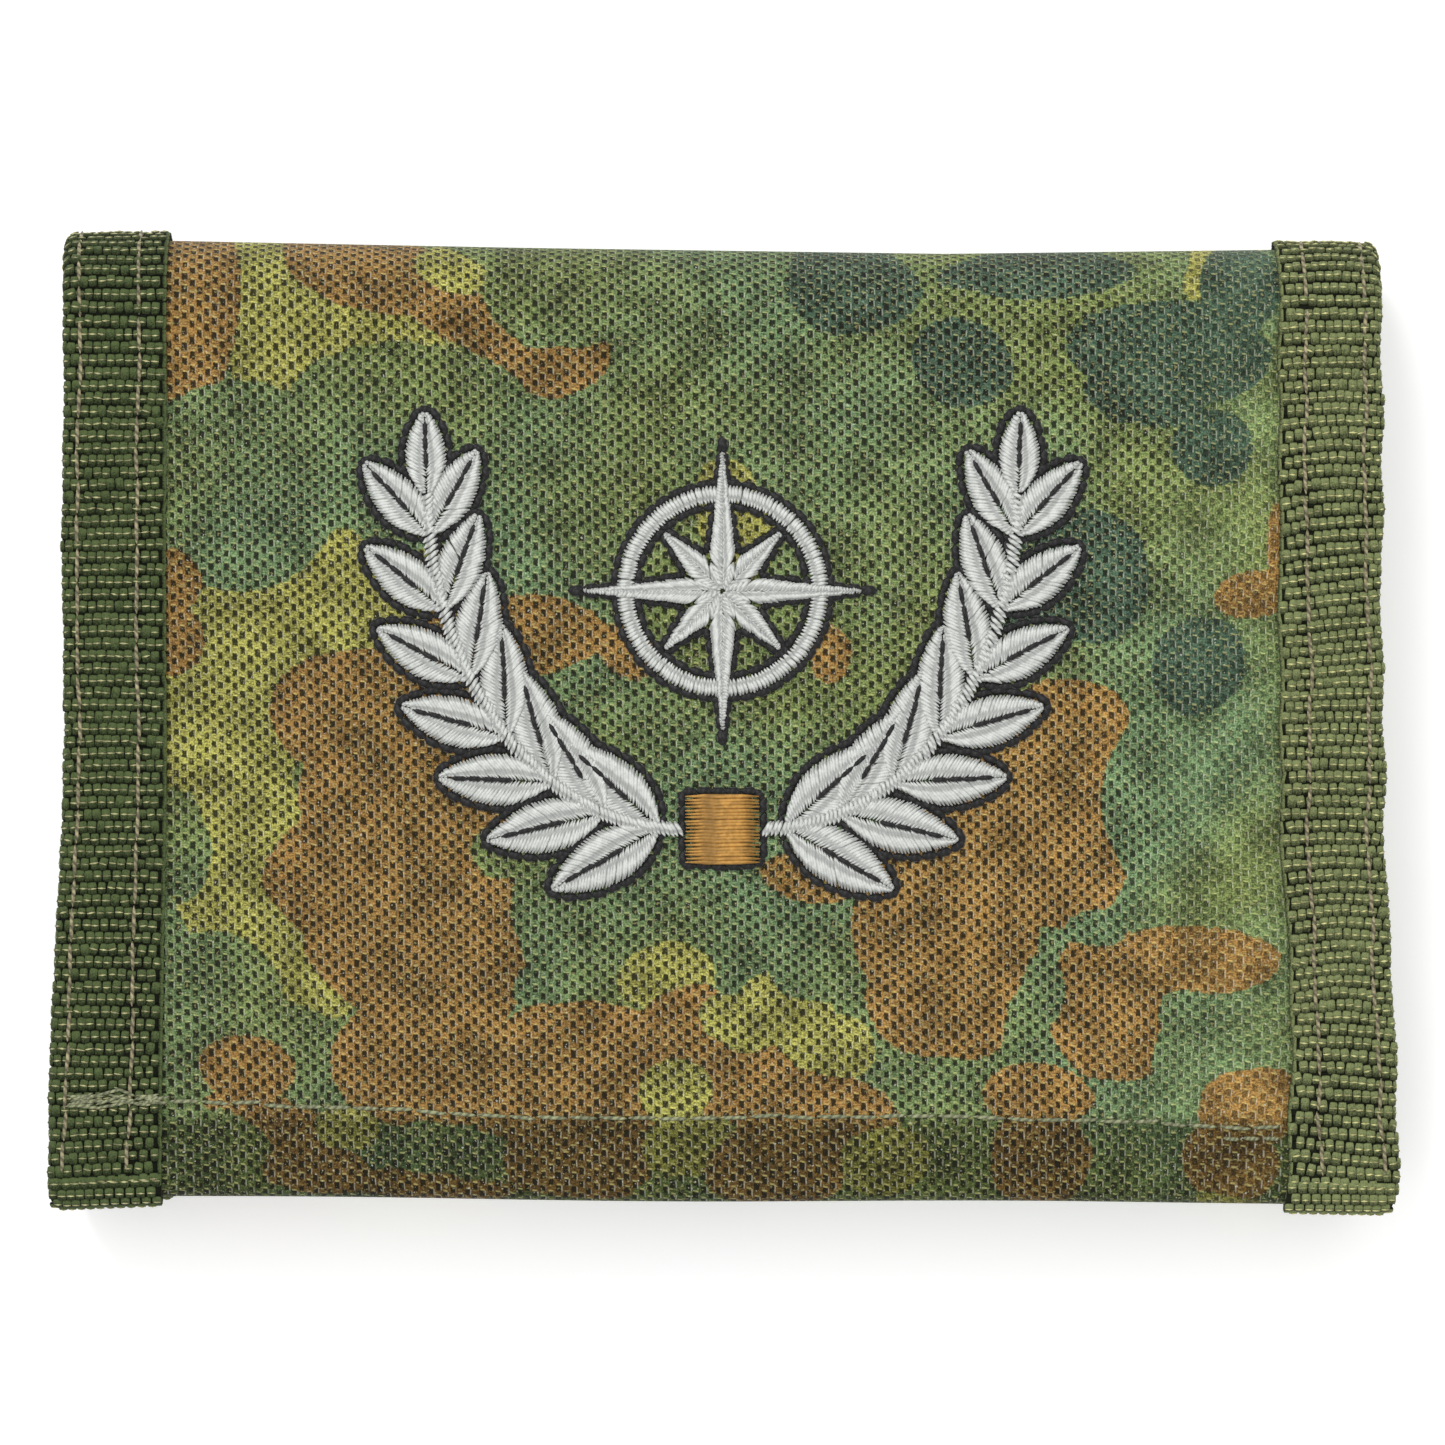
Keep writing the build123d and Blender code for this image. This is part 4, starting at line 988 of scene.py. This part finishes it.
def hem_end(name, side, material, hem_y, hem_z, s0, s1):
    """The tape's end, turned round a hem between s0 and s1. hem_y and hem_z are the hem's centre."""
    rng = np.random.default_rng(70 + side)
    yarns, picks = [], []
    for row, s in enumerate(np.arange(s0, s1 + 0.3, HEM_RIB)):
        for e in np.arange(TAPE_FACE - 0.4 - (row % 2) * COLUMN / 2, 0.2, -COLUMN):
            depth = BAND_SUNK - TAPE + max(0.0, EDGE_REACH - e) * EDGE_DROP
            y, z, ny, nz = (float(v) for v in strip(s, depth))
            point, up = np.array([side * (half_width(s) - e), y, z]), np.array([0.0, ny, nz])
            yarns.append((point, (-1.0, 0, 0), up, (COLUMN * 1.02, RIB * 1.04, 0.56 * rng.normal(1, 0.08))))
            picks.append((point + up * 0.28, (-1.0, 0, 0), up, (COLUMN * 0.9, PICK, PICK)))
    ribs = place_many(name, BEAD, material, soft_places(yarns))
    tint = "pick_right" if side > 0 else "pick_left"
    threads = place_many(name + "_picks", DASH, FINISH[tint], soft_places(picks))
    rows, columns = 12, 30
    e, s = np.meshgrid(np.linspace(0.25, TAPE_FACE, rows), np.linspace(s0, s1, columns), indexing="ij")
    drop = np.maximum(0.0, EDGE_REACH - e) * EDGE_DROP
    sides = on_edge(side, s, e, BAND_SUNK - TAPE + drop), on_edge(side, s, e, -0.1 + drop)
    # crown 0 gives the whole band the tape's gap colour: painted shade under its yarns.
    flat = {"crown": np.zeros(e.shape), "fall": np.zeros(e.shape)}
    band = layer(name + "_band", *sides, material, np.stack([e, s], -1), flat)
    half = float(half_width(HEM_Y)) if hem_y < 0 else HALF
    count, radius = 24, HEM_R + 0.5
    rim = [(side * (half - 0.3), hem_y + radius * math.cos(a), hem_z + radius * math.sin(a))
           for a in np.linspace(0, 2 * math.pi, count, endpoint=False)]
    tips = [(side * (half + 0.1), hem_y, hem_z), (side * (half - 0.9), hem_y, hem_z)]
    fans = [(tip, 2 + i, 2 + (i + 1) % count) for i in range(count) for tip in (0, 1)]
    points = soften(np.array(tips + rim))
    cap = mesh_object(name + "_cap", points, fans, material, np.zeros((len(points), 2)),
                      {"crown": np.full(len(points), 0.6), "fall": np.zeros(len(points))})
    return join_pieces(name, [band, ribs, threads, cap])


def make_lining_tape(stretch):
    """Ribbon over the lining's own edge, where the note compartment opens."""
    s0, s1, _, covers = STRETCHES[stretch]
    s0, s1 = max(s0, HEM_Y + HEM_TURN - HEM_R), min(s1, INNER_HEM_S - HEM_TURN + HEM_R)
    tape = tape_mesh(f"lining_ribbon_{stretch}", -1, places_along(s0, s1, 1.5), LINING_DEPTH - 0.7,
                     LINING_DEPTH + LINING + 0.7, 0.5, TAPE_FACE, FINISH["ribbon"])
    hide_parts(*[f"lining_tape_{c}" for c in covers])
    return bend(tape, stretch)


for stretch in STRETCHES:
    make_shell(stretch)
    make_lining(stretch)
    make_tape(stretch, -1)
    make_tape(stretch, 1)
    make_lining_tape(stretch)


# ---- hem stitching -------------------------------------------------------------------------------


def make_hem_stitches():
    """The flap's hem seam, its back-stitch on the right and its bar tack on the left tape."""
    x = np.linspace(-64, 56.5, 160)
    y = np.interp(x, (-64, -55, -16, 17, 57), (-37.2, -37.6, -39.0, -38.8, -39.8)) + 0.08 * np.sin(x / 3)
    on_tape = x < -HALF + TAPE_FACE - 0.6
    z = FLAP_Z + np.where(on_tape, TAPE + 0.1, 0.0)
    line = soften(np.stack([x, y, z], -1))
    up = np.tile((0, 0, 1.0), (len(x), 1))
    parts = [stitch_line("hem_stitches", line, up, 3.1, 0.40, FINISH["hem_thread"], gap=0.05, seed=61)]
    back = soften([(x, -40.8, FLAP_Z + 0.12) for x in np.linspace(50.5, 56.5, 12)])
    parts.append(stitch_line("hem_back_stitches", back, up[:12], 1.9, 0.42, FINISH["hem_thread"], seed=62))
    rng = np.random.default_rng(63)
    tack = []
    for _ in range(26):
        px, py = rng.uniform(-63.8, -56), -37.3 + rng.normal(0, 0.35)
        tack.append(((px, py, FLAP_Z + TAPE + 0.22), (1, rng.normal(0, 0.25), 0), (0, 0, 1),
                     (rng.uniform(1.4, 3.2), 0.32, 0.3)))
    parts.append(place_many("hem_bar_tack", STITCH, FINISH["hem_thread"], soft_places(tack)))
    stitches = join_pieces("hem_stitching", parts)
    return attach(stitches, "flap")


make_hem_stitches()

# ---- embroidered motif ---------------------------------------------------------------------------

MOTIF_Y = 8.0
LEAVES, LEAF_LENGTH, LEAF_WIDTH, LEAF_SPREAD = 7, 12.5, 5.4, 36.0
STEM_FOOT_X, STEM_FOOT_Y, STEM_RUN, STEM_RISE = 4.3, -18.5, 25.0, 34.0
STAR_Y, STAR_LONG, STAR_SHORT, STAR_NOTCH, STAR_RING = 5.0, 14.0, 8.5, 3.4, 9.6
BAND_WIDTH, BAND_HEIGHT = 7.2, 6.6
THREAD_PITCH, THREAD_WIDTH = 0.34, 0.46


def stem_point(share):
    """Point and direction of the sprig's stem, as in the frame."""
    t = share * math.pi / 2
    x, y = STEM_FOOT_X + STEM_RUN * math.sin(t), STEM_FOOT_Y + STEM_RISE * (1 - math.cos(t))
    return x, y, math.degrees(math.atan2(STEM_RISE * math.sin(t), STEM_RUN * math.cos(t)))


def strand(a, b, level, rng, width=THREAD_WIDTH):
    """A laid thread from a to b on the motif, level millimetres above the cloth."""
    a, b = np.array(a, float), np.array(b, float)
    mid = (a + b) / 2 + rng.normal(0, 0.04, 2)
    return ((mid[0], mid[1] + MOTIF_Y, FLAP_Z + level), (*(b - a), 0), (0, 0, 1),
            (np.linalg.norm(b - a) + 0.12, width, 0.42))


def lens(t, width):
    """Half width of a pointed leaf at t along it, widest a little before its middle."""
    u = np.where(t < 0.45, t / 0.9, 0.5 + (t - 0.45) / 1.1)
    return width / 2 * np.sin(np.clip(u, 0, 1) * math.pi) ** 0.8


def leaf_threads(x, y, angle, length, width, rng):
    """Satin threads that slant from the leaf's vein to its edges."""
    c, q = math.cos(math.radians(angle)), math.sin(math.radians(angle))
    out = []
    for t in np.arange(0.5, length - 0.2, THREAD_PITCH):
        for side in (1, -1):
            half = float(lens(t / length, width))
            lead = min(half * 0.75, length - t)
            a = (t - lead * 0.4, side * 0.08)
            b = (t + lead * 0.6, side * float(lens(min(1, (t + lead * 0.6) / length), width)))
            turn = [(x + px * c - py * q, y + px * q + py * c) for px, py in (a, b)]
            out.append(strand(turn[0], turn[1], 0.42 + 0.10 * (side > 0), rng))
    return out


def leaf_outline(x, y, angle, length, width, grow):
    """Closed line round a leaf."""
    t = np.linspace(0, 1, 14)
    half = lens(t, width) + grow
    half[[0, -1]] = 0
    px = -grow + t * (length + 2 * grow)
    line = [(a, b) for a, b in zip(px, half)] + [(a, -b) for a, b in zip(px[::-1], half[::-1])][1:]
    c, q = math.cos(math.radians(angle)), math.sin(math.radians(angle))
    return [(x + a * c - b * q, y + a * q + b * c) for a, b in line]


def sprig_leaves():
    """Place, angle, length and width of each leaf on the right-hand sprig."""
    leaves = []
    for i in range(LEAVES):
        share = (i + 0.35) / LEAVES
        x, y, turn = stem_point(share)
        for spread in (LEAF_SPREAD, -LEAF_SPREAD):
            leaves.append((x, y, turn + spread, LEAF_LENGTH - 3.0 * share, LEAF_WIDTH - 1.2 * share))
    x, y, turn = stem_point(0.98)
    leaves.append((x, y, turn, LEAF_LENGTH - 4.0, LEAF_WIDTH - 1.4))
    return leaves


def outline_stitches(line, rng, pitch=1.5, width=0.86, level=0.16):
    """Dark back-stitches along a line on the motif."""
    line = np.asarray(line, float)
    run = run_along(line)
    count = max(1, round(run[-1] / pitch))
    marks = np.linspace(0, run[-1], count + 1)
    at = np.stack([np.interp(marks, run, line[:, k]) for k in (0, 1)], -1)
    return [strand(a, b, level, rng, width) for a, b in zip(at[:-1], at[1:])]


def place_motif(name, places, node, slot):
    """Laid threads of the motif on the flap, standing for a CAD node if one is named."""
    finish = {"pale_thread": "pale", "dark_thread": "border", "ochre_thread": "ochre"}[slot]
    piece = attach(place_many(name, STRAND, FINISH[finish], soft_places(places)), "flap")
    if node:
        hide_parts(node)


def make_sprig(side):
    """Laurel sprig: satin leaves with a dark vein and border, on a stem."""
    rng = np.random.default_rng(80 + side)
    threads, border = [], []
    for x, y, angle, length, width in sprig_leaves():
        threads += leaf_threads(x, y, angle, length, width, rng)
        border += outline_stitches(leaf_outline(x, y, angle, length, width, 0.45), rng)
        c, q = math.cos(math.radians(angle)), math.sin(math.radians(angle))
        vein = [(x + t * c, y + t * q) for t in (length * 0.34, length * 0.86)]
        border += outline_stitches(vein, rng, 1.6, 0.5, 0.66)
    for share in np.arange(0, 0.98, 0.011):
        x, y, turn = stem_point(share)
        c, q = math.cos(math.radians(turn + 60)), math.sin(math.radians(turn + 60))
        threads.append(strand((x - 0.8 * c, y - 0.8 * q), (x + 0.8 * c, y + 0.8 * q), 0.56, rng))
    name = "right" if side > 0 else "left"
    for label, places, node, slot in (("sprig", threads, f"motif_sprig_{name}", "pale_thread"),
                                      ("border", border, "motif_border_sprigs", "dark_thread")):
        places = [((side * p[0], p[1], p[2]), (side * a[0], a[1], a[2]), up, size)
                  for p, a, up, size in places]
        place_motif(f"motif_{label}_{name}_threads", places, node, slot)


def make_star():
    """Eight-pointed compass star on a ring."""
    rng = np.random.default_rng(90)
    threads, border = [], []
    for k in np.arange(0, 360, 2.1):
        c, q = math.cos(math.radians(k)), math.sin(math.radians(k))
        threads.append(strand(((STAR_RING - 0.8) * c, STAR_Y + (STAR_RING - 0.8) * q),
                              ((STAR_RING + 0.8) * c, STAR_Y + (STAR_RING + 0.8) * q), 0.36, rng))
    for radius in (STAR_RING + 1.15, STAR_RING - 1.15):
        ring = [(radius * math.cos(a), STAR_Y + radius * math.sin(a))
                for a in np.linspace(0, 2 * math.pi, 49)]
        border += outline_stitches(ring, rng)
    outline = []
    for i in range(16):
        reach = STAR_NOTCH + 0.5 if i % 2 else (STAR_SHORT if i % 4 else STAR_LONG) + 1.2
        a = math.radians(90 + i * 22.5)
        outline.append((reach * math.cos(a), STAR_Y + reach * math.sin(a)))
    for i in range(0, 16, 2):
        reach = STAR_SHORT if i % 4 else STAR_LONG
        a = math.radians(90 + i * 22.5)
        tip = np.array([math.cos(a), math.sin(a)])
        for turn in (-1, 1):
            b = a + turn * math.radians(22.5)
            notch = STAR_NOTCH * np.array([math.cos(b), math.sin(b)])
            for t in np.arange(0.3, reach - 0.4, THREAD_PITCH):
                edge = notch + (tip * reach - notch) * max(0.0, (t - 1.0) / (reach - 1.0))
                if t < 1.6:
                    edge = notch * (t + 0.5) / 2.1
                width = 0.46 + 0.1 * (turn > 0)
                threads.append(strand(tip * t + (0, STAR_Y), edge + (0, STAR_Y), width, rng))
    border += outline_stitches(outline + outline[:1], rng)
    place_motif("motif_star_threads", threads, "motif_star", "pale_thread")
    place_motif("motif_star_border", border, "motif_border_star", "dark_thread")


def make_band():
    """Plain band that ties the sprigs together."""
    rng = np.random.default_rng(95)
    half = BAND_WIDTH / 2
    threads = [strand((-half, STEM_FOOT_Y + v), (half, STEM_FOOT_Y + v), 0.5, rng)
               for v in np.arange(-BAND_HEIGHT / 2, BAND_HEIGHT / 2, THREAD_PITCH)]
    w, h = half + 0.4, BAND_HEIGHT / 2 + 0.4
    around = [(-w, -h), (w, -h), (w, h), (-w, h), (-w, -h)]
    border = outline_stitches([(a, STEM_FOOT_Y + b) for a, b in around], rng)
    place_motif("motif_band_threads", threads, "motif_band", "ochre_thread")
    place_motif("motif_band_border", border, None, "dark_thread")


make_sprig(-1)
make_sprig(1)
make_star()
make_band()

# ---- pockets, window, closures and zip inside the wallet -----------------------------------------

FLANGE, SHOULDER = 2.0, 4.5     # flat sewn edge of the coin pocket, and the slope up from it
POCKET_CLOTH = 0.5
RIBBON_WIDTH = 5.0
BINDING = 0.16                  # thickness of the ribbon on a card pocket
ZIP_PITCH = 1.3
ZIP_IN = 0.55                   # from the zip's centre line to the near side of a coil
PILE_BASE = 0.45                # thickness of the backing of the hook and loop strips
PILE_MARGIN = 2.4


def flat_cloth(name, low, high, facing, finish, rise=None, pitch=1.6, thickness=None):
    """Cloth over the rectangle between two corners. facing is 1 up or -1 down; rise gives the share of
    its full height at each place, and thickness defaults to all of it."""
    counts = [max(2, int((high[k] - low[k]) / pitch) + 1) for k in (0, 1)]
    x, y = np.meshgrid(*(np.linspace(low[k], high[k], counts[k]) for k in (0, 1)), indexing="ij")
    tall = high[2] - low[2]
    thickness = thickness or tall
    reach = thickness + (tall - thickness) * (rise(x, y) if rise else np.ones(x.shape))
    root, way = (low[2], 1) if facing > 0 else (high[2], -1)
    face = np.stack([x, y, root + way * reach], -1)
    back = np.stack([x, y, root + way * (reach - thickness)], -1)
    return layer(name, face, back, FINISH[finish], np.stack([x, y], -1))


def seam(name, corners_xy, z, facing, body, slot, pitch=2.6):
    """Running stitches along straight runs between corners, at one height."""
    up = (0.0, 0.0, float(facing))
    runs = []
    for k, (a, b) in enumerate(zip(corners_xy[:-1], corners_xy[1:])):
        steps = max(3, int(math.dist(a, b)))
        line = np.linspace((*a, z), (*b, z), steps)
        runs.append(stitch_line(f"{name}_{k}", soften(line), np.tile(up, (steps, 1)), pitch, 0.34,
                                FINISH["inside_thread"], gap=0.16, seed=120 + k))
    stitches = join_pieces(name, runs)
    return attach(stitches, body)


def inset_corners(low, high, margin, missing):
    """Corners of a path inside a rectangle, along all of its sides but the one that is missing."""
    x0, y0, x1, y1 = low[0] + margin, low[1] + margin, high[0] - margin, high[1] - margin
    paths = {"top": [(x0, high[1]), (x0, y0), (x1, y0), (x1, high[1])],
             "bottom": [(x0, low[1]), (x0, y1), (x1, y1), (x1, low[1])],
             "none": [(x0, y0), (x1, y0), (x1, y1), (x0, y1), (x0, y0)]}
    return paths[missing]


def place_cloth(piece, body, node):
    """The piece rides on its body in place of its CAD solid."""
    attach(piece, body)
    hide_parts(node)
    return piece


def make_coin_pocket():
    """The puffed pocket front below the zip and the narrow strip above it."""
    for node, open_side in (("coin_pocket_front", "top"), ("coin_pocket_top_strip", "bottom")):
        low, high = corners(node)

        def rise(x, y):
            sewn = y - low[1] if open_side == "top" else high[1] - y
            inwards = np.minimum(np.minimum(x - low[0], high[0] - x), sewn)
            wrinkle = 0.07 * ripple(x / 7, y / 7, 140) * smooth(inwards, FLANGE, FLANGE + SHOULDER)
            return smooth(inwards, FLANGE, FLANGE + min(SHOULDER, (high[1] - low[1]) / 2)) * 0.93 + wrinkle

        piece = flat_cloth(node + "_cloth", low, high, 1, "pocket", rise, thickness=POCKET_CLOTH)
        place_cloth(piece, "back_panel", node)
        seam(node + "_seam", inset_corners(low, high, FLANGE / 2, open_side), low[2] + POCKET_CLOTH, 1,
             "back_panel", "pocket_nylon")
        edge_y = high[1] - 1.3 if open_side == "top" else low[1] + 1.3
        reach = high[0] - FLANGE - SHOULDER
        seam(node + "_zip_seam", [(-reach, edge_y), (reach, edge_y)], high[2] - 0.1, 1, "back_panel",
             "pocket_nylon")


def make_card_pockets():
    """Three stepped pockets, each with a bound top edge."""
    for node in ("card_pocket_rear", "card_pocket_middle", "card_pocket_front"):
        low, high = corners(node)
        piece = flat_cloth(node + "_cloth", low, high, -1, "pocket")
        place_cloth(piece, "inner_panel", node)
        face, hem = low[2], high[1] - RIBBON_WIDTH
        ribbon = flat_cloth(node + "_binding", (low[0], hem, face - BINDING),
                            (high[0], high[1] + 0.4, face), -1, "ribbon", pitch=1.2)
        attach(ribbon, "inner_panel")
        seam(node + "_seam", [(low[0], hem + 1), (high[0], hem + 1)], face - BINDING, -1, "inner_panel",
             "pocket_nylon")
    seam("card_pocket_side_seam", inset_corners(low, corners("card_pocket_rear")[1], 1.2, "top"), low[2], -1,
         "inner_panel", "pocket_nylon")


def make_window():
    """Clear sheet with a ribbon along three of its sides."""
    low, high = corners("id_window")
    film = flat_cloth("window_film", low, high, -1, "film", pitch=2.0)
    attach(film, "flap")
    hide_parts("id_window")
    low, high = corners("id_window_trim")
    z0, z1 = low[2], high[2]
    foot, head = low[1] + RIBBON_WIDTH, high[1] - RIBBON_WIDTH
    runs = ((low[0], low[1], high[0], foot), (low[0], head, high[0], high[1]),
            (low[0], foot - 0.3, low[0] + RIBBON_WIDTH, head + 0.3))
    strips = [flat_cloth(f"window_ribbon_{k}", (x0, y0, z0), (x1, y1, z1), -1, "ribbon", pitch=1.2)
              for k, (x0, y0, x1, y1) in enumerate(runs)]
    place_cloth(join_pieces("window_ribbon", strips), "flap", "id_window_trim")
    for label, margin in (("outer", 1.0), ("inner", RIBBON_WIDTH - 1.0)):
        path = [(high[0], low[1] + margin), (low[0] + margin, low[1] + margin),
                (low[0] + margin, high[1] - margin), (high[0], high[1] - margin)]
        seam(f"window_{label}_seam", path, z0, -1, "flap", "inner_binding")


def make_pile(node, body, facing, finish, piece, gap, size, lean, any_way):
    """Backing with rows of hooks or a mat of loops over all but its sewn margin. lean is how untidy
    they are, and any_way turns each its own way instead of along the strip's width."""
    (x0, y0, z0), (x1, y1, z1) = corners(node)
    rng = np.random.default_rng(150)
    z0, z1 = (z0, z0 + PILE_BASE) if facing > 0 else (z1 - PILE_BASE, z1)
    base = flat_cloth(node + "_base", (x0, y0, z0), (x1, y1, z1), facing, finish)
    root = z1 if facing > 0 else z0
    places = []
    for x in np.arange(x0 + PILE_MARGIN, x1 - PILE_MARGIN, gap[0]):
        for y in np.arange(y0 + PILE_MARGIN, y1 - PILE_MARGIN, gap[1]):
            at = (x + rng.normal(0, lean * 0.4), y + rng.normal(0, lean * 0.4), root - 0.05 * facing)
            along = (rng.normal(0, lean), 1.0 if rng.random() < 0.5 else -1.0, 0)
            if any_way:
                along = (math.cos(rng.uniform(0, 6.3)), math.sin(rng.uniform(0, 6.3)), 0)
            places.append((at, along, (rng.normal(0, lean * 0.3), rng.normal(0, lean * 0.3), facing),
                           np.array(size) * rng.uniform(0.85, 1.12)))
    mat = place_many(node + "_mat", piece, FINISH[finish + "_yarn"], soft_places(places))
    slot = node.replace("strip", "tape")
    place_cloth(join_pieces(node + "_pile", [base, mat]), body, node)
    seam(node + "_seam", inset_corners((x0, y0), (x1, y1), 1.1, "none"), root, facing, body, slot)


def make_zip():
    """Woven zip tapes, and a coil of nylon teeth sewn along each."""
    for side, label in ((-1, "lower"), (1, "upper")):
        low, high = corners(f"zip_tape_{label}")
        piece = flat_cloth(f"zip_tape_{label}_cloth", low, high, 1, "zip_tape", pitch=1.2)
        place_cloth(piece, "back_panel", f"zip_tape_{label}")
        low, high = corners(f"zip_coil_{label}")
        zip_y = low[1] - ZIP_IN if side > 0 else high[1] + ZIP_IN
        middle = (low[2] + high[2]) / 2
        first = low[0] + (ZIP_PITCH / 2 if side > 0 else 0.0)
        teeth = [((x, zip_y + side * 1.0, middle), (0, 1, 0), (0, 0, 1), (2.5, 0.72, high[2] - low[2]))
                 for x in np.arange(first, high[0], ZIP_PITCH)]
        coil = place_many(f"zip_coil_{label}_teeth", BEAD, FINISH["zip_coil"], teeth)
        place_cloth(coil, "back_panel", f"zip_coil_{label}")
        sewn_y = zip_y + side * 1.75
        seam(f"zip_coil_{label}_seam", [(low[0], sewn_y), (high[0], sewn_y)], high[2] - 0.22, 1, "back_panel",
             "zip_coil", pitch=ZIP_PITCH)


make_coin_pocket()
make_card_pockets()
make_window()
make_pile("hook_strip", "flap", -1, "hook", HOOK, (1.5, 1.25), (0.75, 0.75, 0.75), 0.06, False)
make_pile("loop_strip", "inner_panel", 1, "loop", LOOP, (1.05, 0.95), (1.3, 1.3, 0.9), 0.5, True)
make_zip()

for node in ("zip_stop_left", "zip_stop_right", "zip_slider", "zip_pull"):
    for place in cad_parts[node].material_slots:
        place.material = FINISH["zip_metal"]

# ---- floor, light and camera ---------------------------------------------------------------------


def make_stage():
    """Pale floor, soft light and a camera straight above."""
    sh = Shader("pale_floor", 0.9)
    sh.surface.inputs["Emission Color"].default_value = (1, 1, 1, 1)
    sh.surface.inputs["Emission Strength"].default_value = 0.30
    tone = sh.noise(sh.place(), 3.0)
    sh.colour(sh.mix(tone, (0.86, 0.86, 0.86, 1), (0.88, 0.88, 0.88, 1)))
    reach, under = 3000.0, -0.35
    square = [(a * reach, b * reach, under) for a, b in ((-1, -1), (1, -1), (1, 1), (-1, 1))]
    floor = mesh_object("floor", square, [(0, 1, 2, 3)], sh.material, closed=False)
    world = bpy.data.worlds.new("studio")
    world.use_nodes = True
    sky = world.node_tree.nodes["Background"].inputs
    sky["Color"].default_value, sky["Strength"].default_value = (1, 1, 1, 1), 0.72
    bpy.context.scene.world = world
    lamps = (("key", (-0.25, 0.60, 0.80), 0.30, 3.6), ("overhead", (0.0, 0.1, 1.6), 1.6, 9.0))
    for name, place, size, power in lamps:
        lamp = bpy.data.lights.new(name, "AREA")
        lamp.size, lamp.energy = size, power
        obj = link(bpy.data.objects.new(name, lamp))
        obj.location = place
        obj.rotation_euler = (-Vector(place)).to_track_quat("-Z", "Y").to_euler()
    camera = bpy.data.cameras.new("camera")
    camera.sensor_width, camera.lens = 36.0, 252.0
    obj = link(bpy.data.objects.new("camera", camera))
    obj.location = (0.0, 0.0, 1.0 + FLAP_Z * MM)
    bpy.context.scene.camera = obj
    bpy.context.scene.view_settings.view_transform = "Standard"


make_stage()
